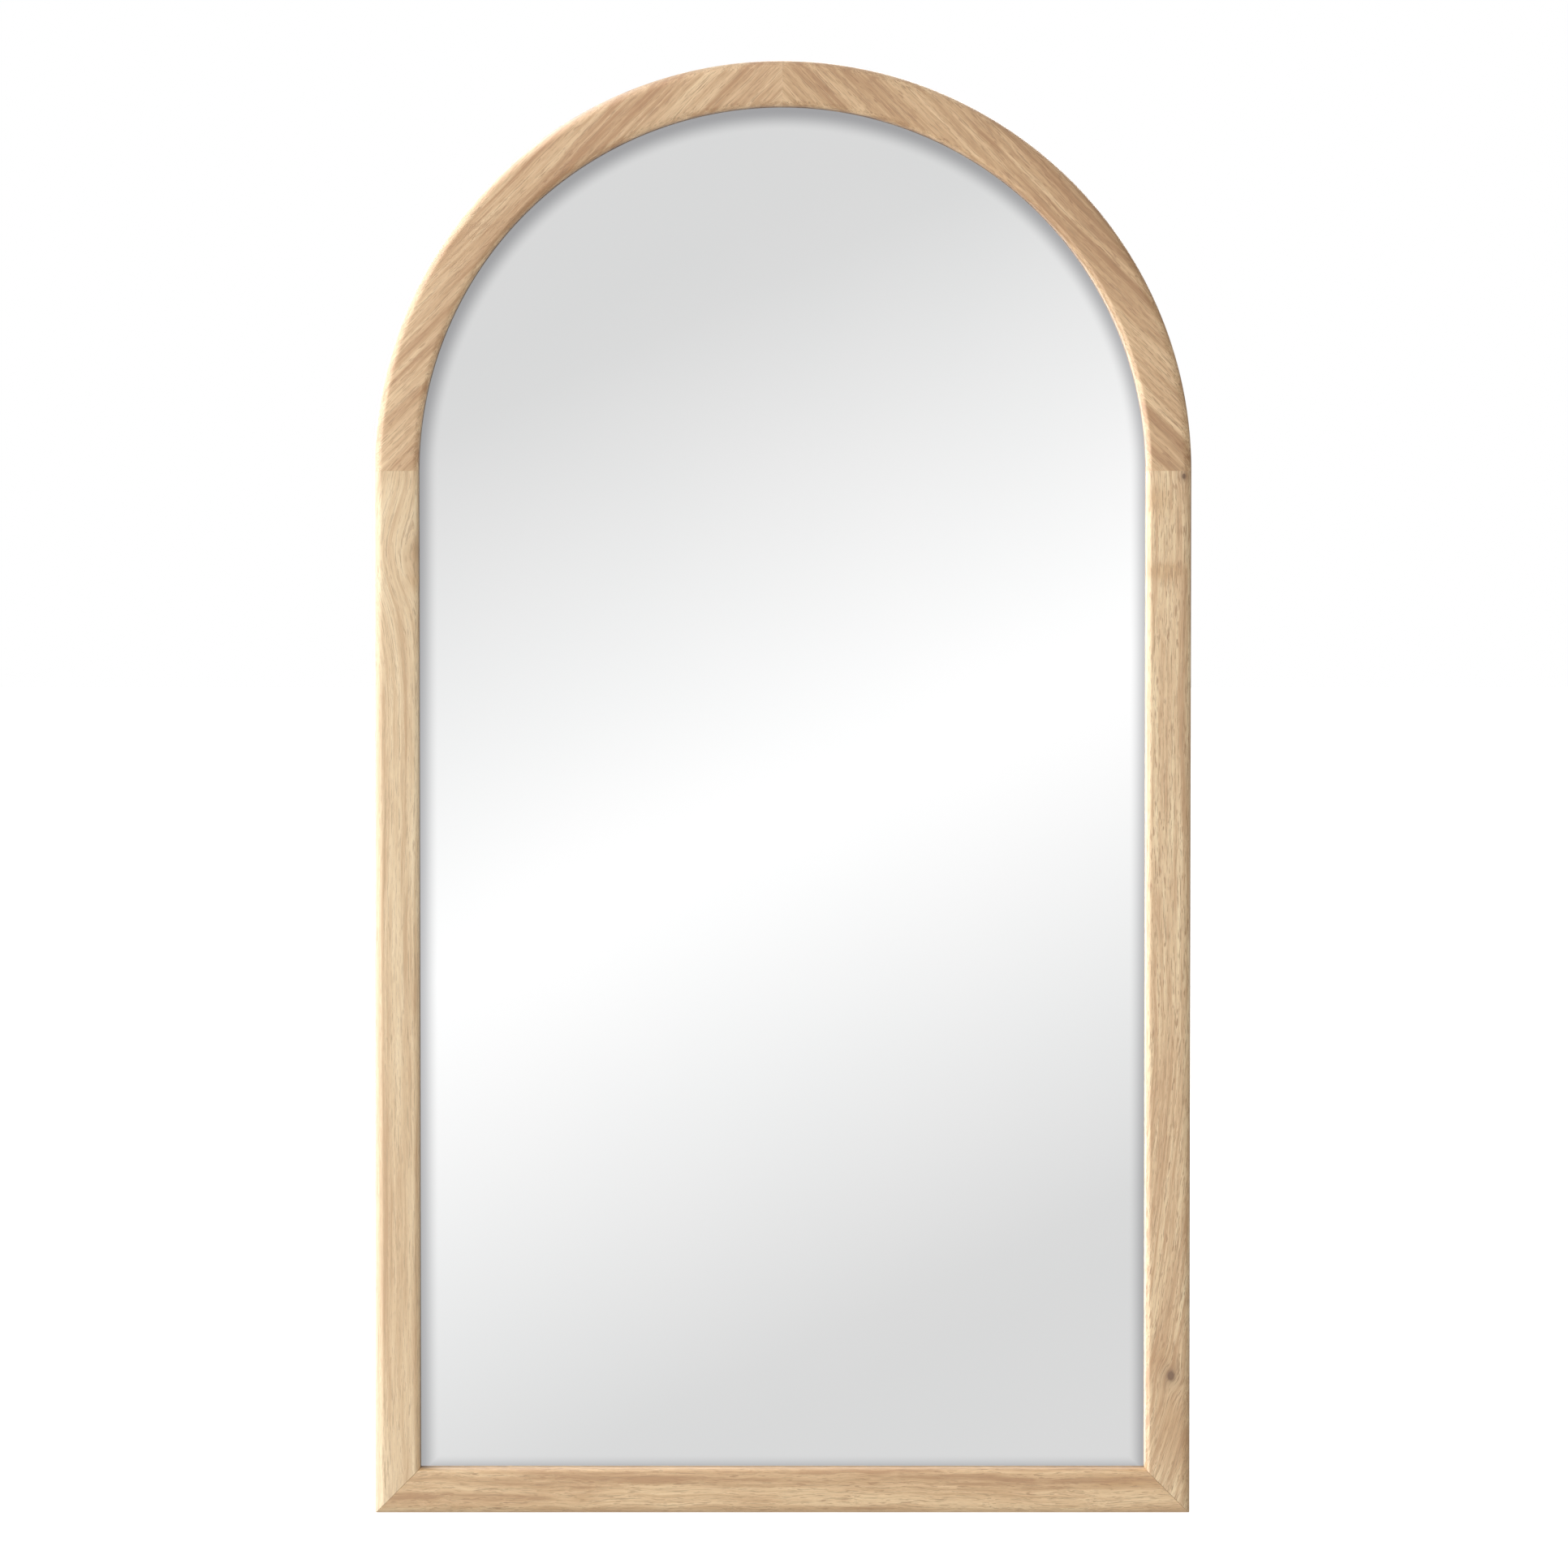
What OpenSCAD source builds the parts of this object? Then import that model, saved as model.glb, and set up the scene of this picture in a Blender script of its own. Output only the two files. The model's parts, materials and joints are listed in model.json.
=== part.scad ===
// Arch-topped oak floor mirror that stands by itself on a folding easel leg.
// Millimetres, +Z up. The origin is on the floor, at the middle of the footprint.
// The mirror is drawn upright, with x across, y into the depth from the front face
// and z up the frame, and the module in_mirror() then leans it back. The easel is drawn
// hanging from its pivot, and in_easel() swings it open.

/* [Frame] */
// Width of the frame
mirror_w = 900; // [700:10:1100]
// Height of the frame, along its front face
mirror_h = 1600; // [1300:10:2000]
// Width of each frame member, seen from the front
face_w = 50; // [44:1:70]
// Depth of the frame, front to back
frame_depth = 40; // [38:1:60]
// Radius of the rounded outer front edge
edge_r = 11; // [4:0.5:14]
// Radius of the rounded inner front edge
sight_r = 7; // [3:0.5:9]
// Radius of the outer back edge
back_r = 3; // [1:0.5:5]

/* [Glass and back] */
// Thickness of wood in front of the glass
lip_t = 14; // [12:0.5:18]
// How far the lip overlaps the glass rebate
glass_lip = 6; // [5:0.5:9]
// Width of the ledge that the backing board is screwed to
ledge_w = 10; // [9:0.5:14]
// Thickness of the mirror glass
glass_t = 4; // [3:0.5:6]
// Thickness of the foam tape between lip and glass
tape_t = 1; // [0.5:0.1:2]
// Thickness of the foam sheet behind the glass
foam_t = 2; // [1:0.5:3]
// Thickness of the backing board
board_t = 5; // [3:0.5:6]

/* [Stance] */
// Angle that the mirror leans back from vertical
lean = 8; // [5:0.5:11]
// Angle between the mirror and the open easel leg
open_angle = 16; // [13:0.5:20]
// Distance from the start of the arch down to the easel pivot
pivot_drop = 70; // [60:5:200]
// Height of the middle of the lower back rail, along the mirror
brace_v = 420; // [250:10:700]

/* [Easel] */
// Distance from the middle of the mirror to the middle of each easel leg
leg_x = 230; // [150:5:300]
// Width of an easel leg, seen from behind
leg_w = 40; // [30:1:50]
// Thickness of an easel leg
leg_t = 22; // [18:0.5:24]
// Height of the stop heel above the pivot
heel = 30; // [28:1:40]
// Height of each cross rail of the easel
cross_h = 45; // [36:1:70]
// Thickness of each cross rail of the easel
cross_t = 18; // [14:0.5:18]
// Distance from the pivot down to the middle of the upper cross rail
upper_drop = 140; // [80:5:300]
// Distance from the foot end of the leg up to the middle of the lower cross rail
lower_rise = 205; // [120:5:400]

/* [Hardware] */
// Thickness of the steel of a pivot bracket
bracket_t = 2.5; // [2:0.5:3]
// Diameter of the pivot bolt
bolt_d = 6; // [5:1:8]
// Outer diameter of the pivot bush
bush_d = 10; // [9:0.5:12]
// Diameter of the dowels
dowel_d = 8; // [6:1:8]
// Height of the hinge rail, which carries the pivot brackets
hinge_rail_h = 80; // [74:1:90]
// Height of the lower back rail
brace_rail_h = 60; // [50:1:90]
// Diameter of the wire of a hanging ring
wire_d = 3; // [2.5:0.5:4]

/* [Hidden] */
$fn = 64;
eps = 0.01;
far = 4000;                    // larger than the whole object, for cutting blocks
slack = 0.02;                  // radial clearance of a glued or pressed pin in its hole
run = 0.05;                    // radial clearance of a turning pin

// Frame section, counted inwards from the outer edge and back from the front face
arch_r = mirror_w / 2;
spring_v = mirror_h - arch_r;  // where the straight stiles end and the arch begins
pivot_v = spring_v - pivot_drop;
glass_d = lip_t + tape_t;      // front face of the glass
ledge_d = glass_d + glass_t + foam_t;
recess_d = ledge_d + board_t;  // back face of the board, and front face of the back rails
rail_t = frame_depth - recess_d;
sight_x = arch_r - face_w;     // half the visible opening
rebate_x = sight_x + glass_lip;
recess_x = rebate_x + ledge_w; // half the clear width between the stiles at the back
glass_gap = 1.5;               // between the glass edge and its rebate
board_gap = 0.5;               // between the board edge and its rebate
tape_w = glass_lip - 1;

// Housings that take the ends of the back rails
housing_l = 20;
housing_gap = 0.2;
rail_half = recess_x + housing_l;
rail_screw_in = 9;             // from the end of a rail to its screws
rail_screw_dz = 22;            // from the middle of a rail up or down to its screws

// Floor pads under the bottom rail
pad_t = 3;
pad_proud = 1;
pad_l = 50;
pad_w = 16;
pad_inset = 3;                 // from the rounded edge to the pad
pad_x = arch_r - 90;
pad_y = edge_r + pad_inset + pad_w / 2;

// Easel pivot
plate_w = 84;
plate_h = 64;
plate_screw_in = 10;           // from the top or bottom edge of the plate to its screws
ear_gap = 1;                   // between a leg and a bracket ear
ear_in = leg_w / 2 + ear_gap;
ear_out = ear_in + bracket_t;
leg_gap = 5;                   // between the plate and a folded leg
stand_off = leg_t / 2 + leg_gap;
plate_d = frame_depth + bracket_t;
pivot_d = plate_d + stand_off;
ear_r = 11;
ear_foot = 16;                 // how much taller an ear is at the plate
stop_gap = 0.1;                // between the heel and the bracket plate when open
hex_r = bolt_d * 0.96;         // bolt head and nut, in proportion to the bolt
head_h = bolt_d * 0.67;
nut_h = bolt_d * 0.7;
collar_r = bolt_d * 0.8;       // the locking collar of the nut
collar_h = bolt_d;
thread_end = 1;                // of bolt past the nut
washer_r = ear_r - 2;
washer_gap = 0.2;              // side play of a washer between leg and ear
foot_t = 4;
foot_inset = 1;

// The open stance
splay = open_angle - lean;
pivot_y = pivot_v * sin(lean) + pivot_d * cos(lean);
pivot_z = pad_proud + pivot_v * cos(lean) - pivot_d * sin(lean);
foot_y = pivot_y + pivot_z * tan(splay);
front_y = edge_r * (cos(lean) + sin(lean) - 1);
rear_y = foot_y - foot_t * tan(splay) + leg_t / (2 * cos(splay));
base_mid = (front_y + rear_y) / 2;
leg_blank = pivot_z * 1.1;      // longer than the leg, before its foot is cut level
lower_drop = pivot_z / cos(splay) - lower_rise;

// Dowels: places in the frame section, and how far each goes into its two members
dowel_r = dowel_d / 2;
dowel_in = 20;
mitre_dowel_in = 12;
land_w = face_w - glass_lip - ledge_w; // flat width at the back of a member
dowel_p = [dowel_r + 8, land_w - dowel_r - 3];
dowel_q = ledge_d + 1;
mitre_p = land_w * 0.65;
mitre_q = [dowel_r + 8, frame_depth - dowel_r - 6];
mitre_l = face_w + 10;         // length of the mitre cut, longer than the face is wide
cross_dowel_z = cross_h / 4;

// Board screws, on the ledge
board_screw_p = land_w + ledge_w / 2;
// in each stile one row is below the brace rail and one is above it
low_row = [130, brace_v - brace_rail_h / 2 - 42.5];
high_row = [brace_v + brace_rail_h / 2 + 115, pivot_v - hinge_rail_h / 2 - 40];
board_screw_v = concat(low_row, [high_row[0], (high_row[0] + high_row[1]) / 2, high_row[1]]);
board_screw_x = [-0.6 * sight_x, 0, 0.6 * sight_x];
board_screw_a = [8, 30, 52, 74];      // degrees around the arch

// Screw sizes: head radius, shank radius, length, head height
board_screw = [3.2, 1.5, 16, 1.8];
rail_screw = [4, 2, 30, 2.4];
bracket_screw = [4, 2, 14, 2.2];
strap_screw = [2.8, 1.3, 14, 1.4];
tip_l = 1.5;
tip_r = 0.4;
hole_end = 0.5;                // of empty hole past a pin or screw

// Bumpers that the folded easel rests on
bumper_r = 9;
bumper_gap = 0.3;
bumper_edge = 2;
bumper_h = bracket_t + leg_gap - bumper_gap;

// Hanging rings
wire_r = wire_d / 2;
strap_t = 1.5;
strap_w = 14;
strap_l = 38;
strap_screw_drop = [19, 32];   // from the ring's axis down to the screws
ring_r = 12;                   // mean radius of the bow
loop_gap = 0.15;
loop_r = wire_r + loop_gap + strap_t;
ring_x = (recess_x + arch_r) / 2;
ring_v = pivot_v - hinge_rail_h / 2 - 70;
ring_d = frame_depth + loop_r;

oak = "burlywood";
beech = "tan";
fibreboard = "peru";
silvered = "gainsboro";
foam = "white";
nylon = "ivory";
steel = "silver";
rubber = "dimgray";

// ---- Placing ----

// The mirror's own frame, leant back and moved so that the origin is in the middle of the footprint
module in_mirror() {
    translate([0, -base_mid, pad_proud]) rotate([-lean, 0, 0]) children();
}

// The floor's frame, for use inside in_mirror(): y counts from the front edge, and z from the floor
module from_floor() {
    rotate([lean, 0, 0]) translate([0, 0, -pad_proud]) children();
}

// The easel's own frame: the origin is on the pivot axis, and the legs hang down
module in_easel() {
    translate([0, pivot_y - base_mid, pivot_z]) rotate([splay, 0, 0]) children();
}

// Draws its children on the right, or mirrored on the left
module on_side(side) {
    if (side < 0) mirror([1, 0, 0]) children();
    else children();
}

module both_sides() {
    for (side = [-1, 1]) on_side(side) children();
}

// A flat outline in x and z, extruded from depth d0 to depth d1
module slab(d0, d1) {
    translate([0, d1, 0]) rotate([90, 0, 0]) linear_extrude(d1 - d0) children();
}

// Places its children so that their z axis points forwards, into the wood, from a face at depth d
module at_back(x, d, v) {
    translate([x, d, v]) rotate([90, 0, 0]) children();
}

module x_pin(r, length) {
    rotate([0, 90, 0]) cylinder(r = r, h = length, center = true);
}

// ---- Screws ----

// A countersunk screw with a cross recess, pointing along +z from the middle of its head
module wood_screw(size) {
    head_r = size[0];
    shank_r = size[1];
    shank_l = size[2] - tip_l;
    recess_l = head_r * 1.1;
    recess_w = head_r * 0.24;
    color(steel) difference() {
        union() {
            cylinder(r1 = head_r, r2 = shank_r, h = size[3]);
            translate([0, 0, size[3] / 2]) cylinder(r = shank_r, h = shank_l - size[3] / 2);
            translate([0, 0, shank_l]) cylinder(r1 = shank_r, r2 = tip_r, h = tip_l);
        }
        for (turn = [0, 90]) rotate(turn) cube([recess_l, recess_w, size[3]], center = true);
    }
}

// The hole that such a screw sits in
module screw_hole(size) {
    translate([0, 0, -1]) cylinder(r = size[0] + slack, h = 1 + eps);
    cylinder(r1 = size[0] + slack, r2 = size[1] + slack, h = size[3]);
    cylinder(r = size[1] + slack, h = size[2] + hole_end);
}

module board_screw_places() {
    for (v = board_screw_v, side = [-1, 1])
        at_back(side * (arch_r - board_screw_p), recess_d, v) children();
    for (x = board_screw_x) at_back(x, recess_d, board_screw_p) children();
    for (a = board_screw_a, side = [-1, 1])
        at_back(side * (arch_r - board_screw_p) * cos(a), recess_d,
                spring_v + (arch_r - board_screw_p) * sin(a)) children();
}

module rail_screw_places() {
    for (v = [pivot_v, brace_v], dz = [-1, 1], side = [-1, 1])
        at_back(side * (rail_half - rail_screw_in), frame_depth, v + dz * rail_screw_dz) children();
}

module bracket_screw_places() {
    for (side = [-1, 1], dx = [-1, 1], dz = [-1, 1])
        at_back(side * leg_x + dx * (ear_out + plate_w / 2) / 2, plate_d,
                pivot_v + dz * (plate_h / 2 - plate_screw_in)) children();
}

module strap_screw_places() {
    for (side = [-1, 1], drop = strap_screw_drop)
        at_back(side * ring_x, frame_depth + strap_t, ring_v - drop) children();
}

// ---- Frame ----

// Section of a frame member: x counts inwards from the outer edge, and y back from the front
module frame_section() {
    difference() {
        union() {
            translate([edge_r, 0]) square([face_w - edge_r - sight_r, frame_depth]);
            translate([0, edge_r]) square([face_w, frame_depth - edge_r - back_r]);
            translate([back_r, edge_r]) square([face_w - back_r, frame_depth - edge_r]);
            translate([edge_r, edge_r]) circle(edge_r);
            translate([back_r, frame_depth - back_r]) circle(back_r);
            translate([face_w - sight_r, sight_r]) square([sight_r, edge_r]);
            translate([face_w - sight_r, sight_r]) circle(sight_r);
        }
        translate([face_w - glass_lip, lip_t]) square([face_w, frame_depth]);
        translate([face_w - glass_lip - ledge_w, ledge_d]) square([face_w, frame_depth]);
    }
}

module floor_cut() {
    from_floor() translate([-far / 2, -far / 2, pad_proud - far]) cube(far);
}

// Cuts a bottom corner: its outline starts at the outer corner of the frame
module mitre_cut() {
    translate([arch_r, 0, 0]) slab(-1, frame_depth + 1) children();
}

module spring_dowels(r, in) {
    for (p = dowel_p) translate([arch_r - p, dowel_q, spring_v - in]) cylinder(r = r, h = 2 * in);
}

module crown_dowels(r, in) {
    for (p = dowel_p) translate([0, dowel_q, spring_v + arch_r - p]) x_pin(r, 2 * in);
}

module mitre_dowels(r, in) {
    for (q = mitre_q) translate([arch_r - mitre_p, q, mitre_p]) rotate([0, 45, 0])
        cylinder(r = r, h = 2 * in, center = true);
}

module stile() {
    color(oak) difference() {
        translate([arch_r, 0, 0]) mirror([1, 0, 0]) linear_extrude(spring_v) frame_section();
        mitre_cut() polygon([[0, 0], [-mitre_l, mitre_l], [-mitre_l, -1], [0, -1]]);
        floor_cut();
        for (rail = [[pivot_v, hinge_rail_h], [brace_v, brace_rail_h]])
            translate([recess_x - 1, recess_d, rail[0] - rail[1] / 2 - housing_gap])
                cube([housing_l + housing_gap + 1, frame_depth, rail[1] + 2 * housing_gap]);
        spring_dowels(dowel_r + slack, dowel_in + hole_end);
        mitre_dowels(dowel_r + slack, mitre_dowel_in + hole_end);
        board_screw_places() screw_hole(board_screw);
        rail_screw_places() screw_hole(rail_screw);
        strap_screw_places() screw_hole(strap_screw);
    }
}

module arch() {
    color(oak) difference() {
        translate([0, 0, spring_v]) rotate([90, 0, 0])
            rotate_extrude(angle = 90, $fn = 180) translate([arch_r, 0]) rotate(180) frame_section();
        spring_dowels(dowel_r + slack, dowel_in + hole_end);
        crown_dowels(dowel_r + slack, dowel_in + hole_end);
        board_screw_places() screw_hole(board_screw);
    }
}

module bottom_rail() {
    color(oak) difference() {
        translate([arch_r, 0, 0]) rotate([0, -90, 0]) linear_extrude(mirror_w) frame_section();
        both_sides() mitre_cut() polygon([[0, 0], [-mitre_l, mitre_l], [1, mitre_l], [1, 0]]);
        floor_cut();
        from_floor() floor_pads(slack);
        both_sides() mitre_dowels(dowel_r + slack, mitre_dowel_in + hole_end);
        board_screw_places() screw_hole(board_screw);
    }
}

module frame_dowels() {
    color(beech) both_sides() {
        spring_dowels(dowel_r, dowel_in);
        mitre_dowels(dowel_r, mitre_dowel_in);
    }
    color(beech) crown_dowels(dowel_r, dowel_in);
}

// ---- Glass and back ----

// An arch-topped outline that is half_w wide each side of the middle
module arch_outline(half_w) {
    translate([-half_w, arch_r - half_w]) square([2 * half_w, spring_v - arch_r + half_w]);
    translate([0, spring_v]) circle(half_w, $fn = 180);
}

module mirror_glass() {
    color(silvered) slab(glass_d, glass_d + glass_t) arch_outline(rebate_x - glass_gap);
}

module glass_tape() {
    color(rubber) slab(lip_t, glass_d) difference() {
        arch_outline(sight_x + 0.5 + tape_w);
        arch_outline(sight_x + 0.5);
    }
}

module foam_sheet() {
    color(foam) slab(glass_d + glass_t, ledge_d) arch_outline(rebate_x - glass_gap);
}

module backing_board() {
    color(fibreboard) difference() {
        slab(ledge_d, recess_d) arch_outline(recess_x - board_gap);
        board_screw_places() screw_hole(board_screw);
    }
}

// A rail across the back, let into the stiles and flush with the back of the frame
module back_rail(v, height) {
    color(oak) difference() {
        translate([-rail_half, recess_d, v - height / 2]) cube([2 * rail_half, rail_t, height]);
        rail_screw_places() screw_hole(rail_screw);
        bracket_screw_places() screw_hole(bracket_screw);
    }
}

// A round-ended rubber pad at each side, on the floor; grow makes the hollow that a pad is set in
module floor_pads(grow = 0) {
    end_r = pad_w / 2 + grow;
    straight = pad_l - pad_w;
    color(rubber) for (side = [-1, 1]) translate([side * pad_x, pad_y, 0]) {
        translate([-straight / 2, -end_r, 0]) cube([straight, 2 * end_r, pad_t + grow]);
        for (end = [-1, 1]) translate([end * straight / 2, 0, 0]) cylinder(r = end_r, h = pad_t + grow);
    }
}

module fold_bumpers() {
    color(rubber) for (side = [-1, 1]) translate([side * leg_x, frame_depth, brace_v]) rotate([-90, 0, 0]) {
        cylinder(r = bumper_r, h = bumper_h - bumper_edge);
        translate([0, 0, bumper_h - bumper_edge])
            cylinder(r1 = bumper_r, r2 = bumper_r - bumper_edge, h = bumper_edge);
    }
}

// ---- Pivots ----

// A steel clevis: a plate screwed to the hinge rail, with an ear on each side of the leg
module pivot_bracket() {
    color(steel) difference() {
        translate([leg_x, frame_depth, pivot_v]) {
            translate([-plate_w / 2, 0, -plate_h / 2]) cube([plate_w, bracket_t, plate_h]);
            for (side = [-1, 1]) translate([side * (ear_in + ear_out) / 2 - bracket_t / 2, 0, 0])
                rotate([90, 0, 90]) linear_extrude(bracket_t) {
                    polygon([[eps, -ear_r - ear_foot], [pivot_d - frame_depth, -ear_r],
                             [pivot_d - frame_depth, ear_r], [eps, ear_r + ear_foot]]);
                    translate([pivot_d - frame_depth, 0]) circle(ear_r);
                }
        }
        translate([leg_x, pivot_d, pivot_v]) x_pin(bolt_d / 2 + slack, plate_w);
        bracket_screw_places() screw_hole(bracket_screw);
    }
}

// The bolt: its head is against the outer ear, and its thread ends past the nut
module pivot_bolt() {
    color(steel) translate([leg_x, pivot_d, pivot_v]) rotate([0, -90, 0]) {
        translate([0, 0, -ear_out]) cylinder(r = bolt_d / 2, h = 2 * ear_out + collar_h + thread_end);
        translate([0, 0, -ear_out - head_h]) cylinder(r = hex_r, h = head_h, $fn = 6);
    }
}

module pivot_nut() {
    color(steel) translate([leg_x - ear_out, pivot_d, pivot_v]) rotate([0, -90, 0]) difference() {
        union() {
            cylinder(r = hex_r, h = nut_h, $fn = 6);
            cylinder(r = collar_r, h = collar_h);
        }
        translate([0, 0, -1]) cylinder(r = bolt_d / 2 + slack, h = collar_h + 2);
    }
}

// ---- Hanging rings ----

module ring_strap() {
    color(steel) difference() {
        translate([ring_x, 0, ring_v]) {
            translate([-strap_w / 2, frame_depth, -strap_l]) cube([strap_w, strap_t, strap_l]);
            translate([0, ring_d, 0]) x_pin(loop_r, strap_w);
        }
        translate([ring_x, ring_d, ring_v]) x_pin(wire_r + loop_gap, strap_w + 2);
        strap_screw_places() screw_hole(strap_screw);
    }
}

// The ring hangs plumb from its loop, so it is drawn without the mirror's lean
module hanging_ring() {
    color(steel) translate([ring_x, ring_d, ring_v]) rotate([lean, 0, 0]) {
        x_pin(wire_r, 2 * ring_r);
        rotate([90, 180, 0]) rotate_extrude(angle = 180) translate([ring_r, 0]) circle(wire_r);
        for (side = [-1, 1]) translate([side * ring_r, 0, 0]) sphere(wire_r);
    }
}

// ---- Easel ----

module easel_dowels() {
    color(beech) both_sides() cross_dowels(dowel_r, dowel_in);
}

module cross_dowels(r, in) {
    for (drop = [upper_drop, lower_drop], dz = [-1, 1])
        translate([leg_x - leg_w / 2, 0, -drop + dz * cross_dowel_z]) x_pin(r, 2 * in);
}

// From the easel's frame to a level one whose z is 0 where the leg is cut and the foot begins
module level_at_foot() {
    rotate([-splay, 0, 0]) translate([0, 0, foot_t - pivot_z]) children();
}

module easel_leg() {
    color(oak) difference() {
        translate([leg_x - leg_w / 2, -leg_t / 2, -leg_blank]) cube([leg_w, leg_t, leg_blank + heel]);
        // the heel's bevel, which bears on the bracket plate when the easel is open
        rotate([-open_angle, 0, 0]) translate([0, -far - stand_off + stop_gap, -far / 2]) cube(far);
        // the foot's level cut
        level_at_foot() translate([-far / 2, -far / 2, -far]) cube(far);
        translate([leg_x, 0, 0]) x_pin(bush_d / 2 + slack, leg_w + 2);
        cross_dowels(dowel_r + slack, dowel_in + hole_end);
    }
}

module easel_cross_rail(drop) {
    half_l = leg_x - leg_w / 2;
    color(oak) difference() {
        translate([-half_l, -cross_t / 2, -drop - cross_h / 2]) cube([2 * half_l, cross_t, cross_h]);
        both_sides() cross_dowels(dowel_r + slack, dowel_in + hole_end);
    }
}

module pivot_bush() {
    color(nylon) translate([leg_x, 0, 0]) difference() {
        x_pin(bush_d / 2, leg_w);
        x_pin(bolt_d / 2 + run, leg_w + 2);
    }
}

module pivot_washers() {
    color(nylon) for (side = [-1, 1], end = [-1, 1])
        translate([side * leg_x + end * (leg_w + ear_gap) / 2, 0, 0]) difference() {
            x_pin(washer_r, ear_gap - washer_gap);
            x_pin(bolt_d / 2 + run, ear_gap + 2);
        }
}

// A rubber foot, level with the floor, under the cut end of a leg
module easel_foot() {
    foot_l = leg_t / cos(splay) - 2 * foot_inset;
    color(rubber) level_at_foot()
    translate([leg_x - leg_w / 2 + foot_inset, (pivot_z - foot_t) * tan(splay) - foot_l / 2, -foot_t])
        cube([leg_w - 2 * foot_inset, foot_l, foot_t]);
}

// ---- Nodes ----

in_mirror() on_side(-1) stile();  // left_stile
in_mirror() stile();  // right_stile
in_mirror() on_side(-1) arch();  // left_arch
in_mirror() arch();  // right_arch
in_mirror() bottom_rail();
in_mirror() frame_dowels();
in_mirror() mirror_glass();
in_mirror() glass_tape();
in_mirror() foam_sheet();
in_mirror() backing_board();
in_mirror() board_screw_places() wood_screw(board_screw);  // board_screws
in_mirror() back_rail(pivot_v, hinge_rail_h);  // hinge_rail
in_mirror() back_rail(brace_v, brace_rail_h);  // brace_rail
in_mirror() rail_screw_places() wood_screw(rail_screw);  // rail_screws
translate([0, -base_mid, 0]) floor_pads();
in_mirror() fold_bumpers();
in_mirror() on_side(-1) pivot_bracket();  // left_pivot_bracket
in_mirror() pivot_bracket();  // right_pivot_bracket
in_mirror() bracket_screw_places() wood_screw(bracket_screw);  // bracket_screws
in_mirror() on_side(-1) pivot_bolt();  // left_pivot_bolt
in_mirror() pivot_bolt();  // right_pivot_bolt
in_mirror() on_side(-1) pivot_nut();  // left_pivot_nut
in_mirror() pivot_nut();  // right_pivot_nut
in_mirror() on_side(-1) ring_strap();  // left_ring_strap
in_mirror() ring_strap();  // right_ring_strap
in_mirror() strap_screw_places() wood_screw(strap_screw);  // ring_strap_screws
in_mirror() on_side(-1) hanging_ring();  // left_hanging_ring
in_mirror() hanging_ring();  // right_hanging_ring
in_easel() on_side(-1) easel_leg();  // easel_left_leg
in_easel() easel_leg();  // easel_right_leg
in_easel() easel_cross_rail(upper_drop);  // easel_upper_rail
in_easel() easel_cross_rail(lower_drop);  // easel_lower_rail
in_easel() easel_dowels();
in_easel() on_side(-1) pivot_bush();  // left_pivot_bush
in_easel() pivot_bush();  // right_pivot_bush
in_easel() pivot_washers();
in_easel() on_side(-1) easel_foot();  // easel_left_foot
in_easel() easel_foot();  // easel_right_foot
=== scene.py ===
"""Looks of an arch-topped oak floor mirror on its folding easel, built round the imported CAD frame.

Sizes are in millimetres and repeat the CAD's. Pieces of the mirror are drawn upright in its own frame,
x across, y into the depth from the front face and z up, and pieces of the easel hang from its pivot.
"""
import json
import math

import bmesh
import bpy
from mathutils import Matrix, Vector


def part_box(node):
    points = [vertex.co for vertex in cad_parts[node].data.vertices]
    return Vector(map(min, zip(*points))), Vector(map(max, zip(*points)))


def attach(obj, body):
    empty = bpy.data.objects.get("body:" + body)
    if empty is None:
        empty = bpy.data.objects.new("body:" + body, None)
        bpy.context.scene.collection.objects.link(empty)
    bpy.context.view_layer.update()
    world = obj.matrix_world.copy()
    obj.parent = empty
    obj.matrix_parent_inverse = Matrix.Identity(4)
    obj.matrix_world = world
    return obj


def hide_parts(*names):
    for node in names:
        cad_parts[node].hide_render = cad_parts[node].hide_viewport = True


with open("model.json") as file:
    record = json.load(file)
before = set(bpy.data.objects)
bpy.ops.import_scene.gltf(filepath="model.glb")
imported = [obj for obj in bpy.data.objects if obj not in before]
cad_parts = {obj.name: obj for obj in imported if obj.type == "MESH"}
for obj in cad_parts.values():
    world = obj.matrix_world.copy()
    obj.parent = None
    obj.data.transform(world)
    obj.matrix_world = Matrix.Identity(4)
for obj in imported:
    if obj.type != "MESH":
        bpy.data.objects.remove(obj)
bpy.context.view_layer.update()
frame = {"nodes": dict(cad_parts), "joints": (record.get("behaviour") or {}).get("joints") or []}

# ---- Sizes ----

SIDES = (-1, 1)         # left and right
LEAN = math.radians(8)
SPLAY = math.radians(8)
OPEN = LEAN + SPLAY

ARCH_R = 450
SPRING_V = 1150
FACE_W = 50
DEPTH = 40
EDGE_R = 11
SIGHT_R = 7
BACK_R = 3
LIP_T = 14
GLASS_LIP = 6
LEDGE_W = 10
GLASS_D = 15
GLASS_T = 4
LEDGE_D = 21
RECESS_D = 26
SIGHT_X = ARCH_R - FACE_W
REBATE_X = SIGHT_X + GLASS_LIP
RECESS_X = REBATE_X + LEDGE_W
GLASS_GAP = 1.5
BOARD_GAP = 0.5
JOINT_GAP = 0.02
MITRE_GAP = 0.06
EDGE_SOFT = 0.1
MITRE_SOFT = 0.25
OVERRUN = 20            # what is swept past a joint, then cut off
POCKET_PLAY = 0.2

PIVOT_V = SPRING_V - 70
BRACE_V = 420
HINGE_RAIL_H = 80
BRACE_RAIL_H = 60
RAIL_HALF = RECESS_X + 20

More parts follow.
